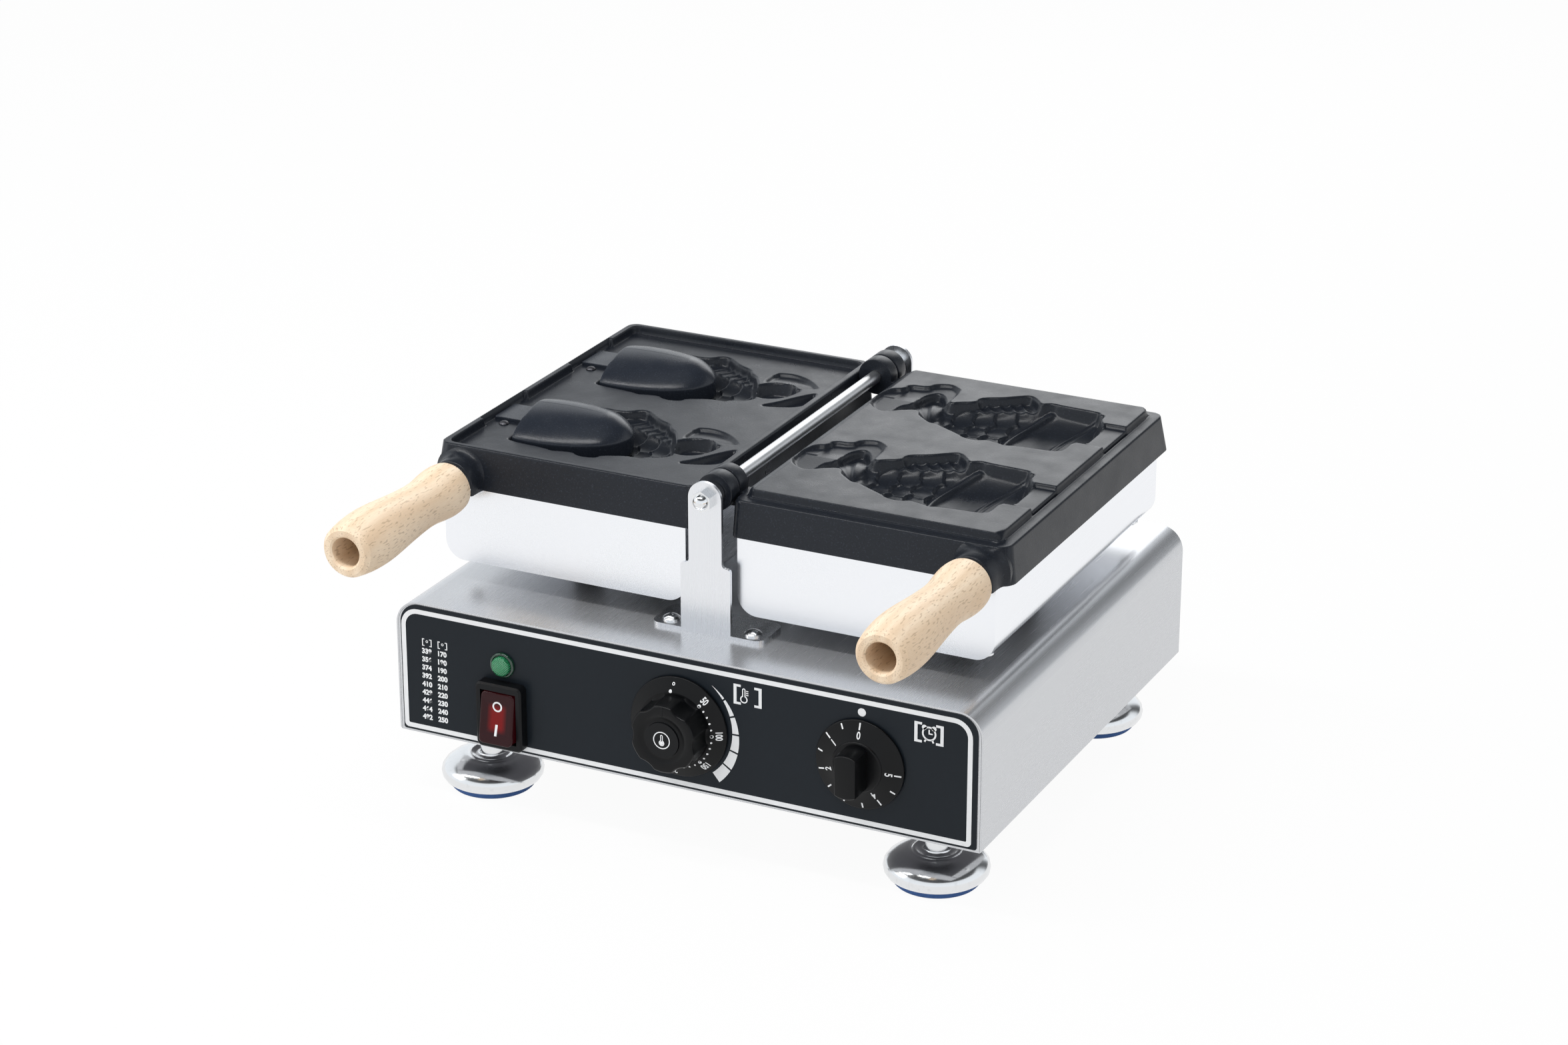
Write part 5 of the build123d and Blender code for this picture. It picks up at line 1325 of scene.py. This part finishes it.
class WAFFLE_OT_stage(bpy.types.Operator):
    """Lay the pale floor, hang the soft lamps and set up the camera."""

    bl_idname = "waffle.stage"
    bl_label = "Set Stage"

    def execute(self, context):
        self.lay_floor(context)
        self.light_world(context)
        self.hang_lamps()
        self.set_camera(context)
        context.scene.view_settings.view_transform = "Standard"
        return {"FINISHED"}

    def lay_floor(self, context):
        """A pale floor that glows white to camera, mirror and glass rays, and keeps the shadow."""
        deselect()
        bpy.ops.mesh.primitive_plane_add(size=12, location=(0, 0, 0))
        floor = context.object
        floor.name = "floor"
        material, tree, shader = new_material("floor", Roughness=0.9, Specular_IOR_Level=0.1)
        shader.inputs["Base Color"].default_value = rgba(context.scene.waffle_stage.floor_colour)
        glow = make_node(tree, "ShaderNodeEmission", {"Color": (1, 1, 1, 1), "Strength": 1.0}).outputs[0]
        rays = make_node(tree, "ShaderNodeLightPath").outputs
        seen = maths(tree, "MAXIMUM", rays["Is Camera Ray"], rays["Is Transmission Ray"])
        seen = maths(tree, "MULTIPLY", maths(tree, "MAXIMUM", seen, rays["Is Glossy Ray"]), 0.95)
        connect(tree, tree.nodes["Material Output"],
                Surface=mix_shaders(tree, seen, shader.outputs[0], glow))
        floor.data.materials.append(material)

    def light_world(self, context):
        """Even pale light, with dark flags for mirror rays and a plain white background."""
        world = bpy.data.worlds.new("studio")
        context.scene.world = world
        world.use_nodes = True
        tree = world.node_tree
        tree.nodes.clear()
        rays = make_node(tree, "ShaderNodeLightPath").outputs
        direction = make_node(tree, "ShaderNodeTexCoord").outputs["Generated"]
        apart = make_node(tree, "ShaderNodeSeparateXYZ", {0: direction}).outputs
        sky = grey_ramp(tree, apart["Z"], (
            (0.0, 0.95), (0.55, 0.9), (0.62, 0.08), (0.88, 0.06), (0.95, 0.4), (1.0, 0.5)),
            (0.93, 0.965, 1.0))
        round_z = maths(tree, "ARCTAN2", apart["X"], apart["Y"])
        flag = grey_ramp(tree, ranged(tree, round_z, 0.0, 1.2), (
            (0.0, 1.0), (0.10, 1.0), (0.20, 0.25), (0.34, 0.08), (0.45, 0.3), (0.54, 0.8), (0.7, 1.0),
            (1.0, 1.0)))
        flagged = mix_colours(tree, 1.0, sky, flag)
        flagged.node.blend_type = "MULTIPLY"
        mirrored = background(tree, flagged, 1.15)
        ambient = background(tree, (0.97, 0.985, 1.0, 1.0), 0.62)
        seen = background(tree, (1, 1, 1, 1), 1.0)
        lit = mix_shaders(tree, rays["Is Glossy Ray"], ambient, mirrored)
        connect(tree, make_node(tree, "ShaderNodeOutputWorld"),
                Surface=mix_shaders(tree, rays["Is Camera Ray"], lit, seen))

    def hang_lamps(self):
        """A long strip overhead, a weaker lamp from the left and a faint one from behind."""
        for name, energy, wide, deep, spot, aim in (
                ("overhead_lamp", 17.0, 1.9, 0.16, (-0.5, -0.5, 1.5), (-0.5, 0.0, 0.15)),
                ("left_lamp", 6.0, 0.9, 0.9, (-1.7, -0.9, 1.1), (0.0, 0.0, 0.1)),
                ("rear_lamp", 3.0, 0.8, 0.8, (-0.3, 1.5, 0.8), (0.12, 0.08, 0.19))):
            lamp = bpy.data.lights.new(name, "AREA")
            lamp.energy = energy
            lamp.shape = "RECTANGLE"
            lamp.size = wide
            lamp.size_y = deep
            obj = new_object(name, lamp)
            obj.location = spot
            obj.rotation_euler = (Vector(aim) - Vector(spot)).to_track_quat("-Z", "Y").to_euler()
            obj.visible_camera = False

    def set_camera(self, context):
        """Stand the camera where the whole iron is seen from its front right corner."""
        yaw, pitch = radians(-26.179), radians(21.908)
        ahead = Vector((sin(yaw) * cos(pitch), cos(yaw) * cos(pitch), -sin(pitch)))
        right = Vector((cos(yaw), -sin(yaw), 0))
        turn = Matrix((right, right.cross(ahead), -ahead)).transposed().to_4x4()
        camera = new_object("camera", bpy.data.cameras.new("camera"))
        camera.matrix_world = Matrix.Translation((0.8415, -1.6946, 0.9076)) @ turn
        camera.data.lens = context.scene.waffle_stage.lens
        camera.data.sensor_width = 36.0
        context.scene.camera = camera


class WAFFLE_PT_panel(bpy.types.Panel):
    """Lists the steps and the settings in the sidebar."""

    bl_label = "Waffle Iron"
    bl_idname = "WAFFLE_PT_panel"
    bl_space_type = "VIEW_3D"
    bl_region_type = "UI"
    bl_category = "Waffle Iron"

    def draw(self, context):
        layout = self.layout
        for step in STEPS:
            layout.operator(step.bl_idname)
        for _, attribute in SETTINGS:
            group = getattr(context.scene, attribute)
            for prop in group.bl_rna.properties:
                if prop.identifier not in ("rna_type", "name"):
                    layout.prop(group, prop.identifier)


SETTINGS = (
    (MouldSettings, "waffle_moulds"), (PanelSettings, "waffle_panel"), (MetalSettings, "waffle_metal"),
    (WoodSettings, "waffle_wood"), (StageSettings, "waffle_stage"))
STEPS = (WAFFLE_OT_finishes, WAFFLE_OT_moulds, WAFFLE_OT_cores, WAFFLE_OT_label, WAFFLE_OT_controls,
         WAFFLE_OT_turned, WAFFLE_OT_stage)


def register():
    """Register the settings, the steps and the panel."""
    for group, attribute in SETTINGS:
        bpy.utils.register_class(group)
        setattr(bpy.types.Scene, attribute, PointerProperty(type=group))
    for step in STEPS:
        bpy.utils.register_class(step)
    bpy.utils.register_class(WAFFLE_PT_panel)


def unregister():
    """Undo register."""
    bpy.utils.unregister_class(WAFFLE_PT_panel)
    for step in reversed(STEPS):
        bpy.utils.unregister_class(step)
    for group, attribute in reversed(SETTINGS):
        delattr(bpy.types.Scene, attribute)
        bpy.utils.unregister_class(group)


def main():
    """Build every piece in order."""
    register()
    for step in STEPS:
        family, action = step.bl_idname.split(".")
        getattr(getattr(bpy.ops, family), action)()


if __name__ == "__main__":
    main()
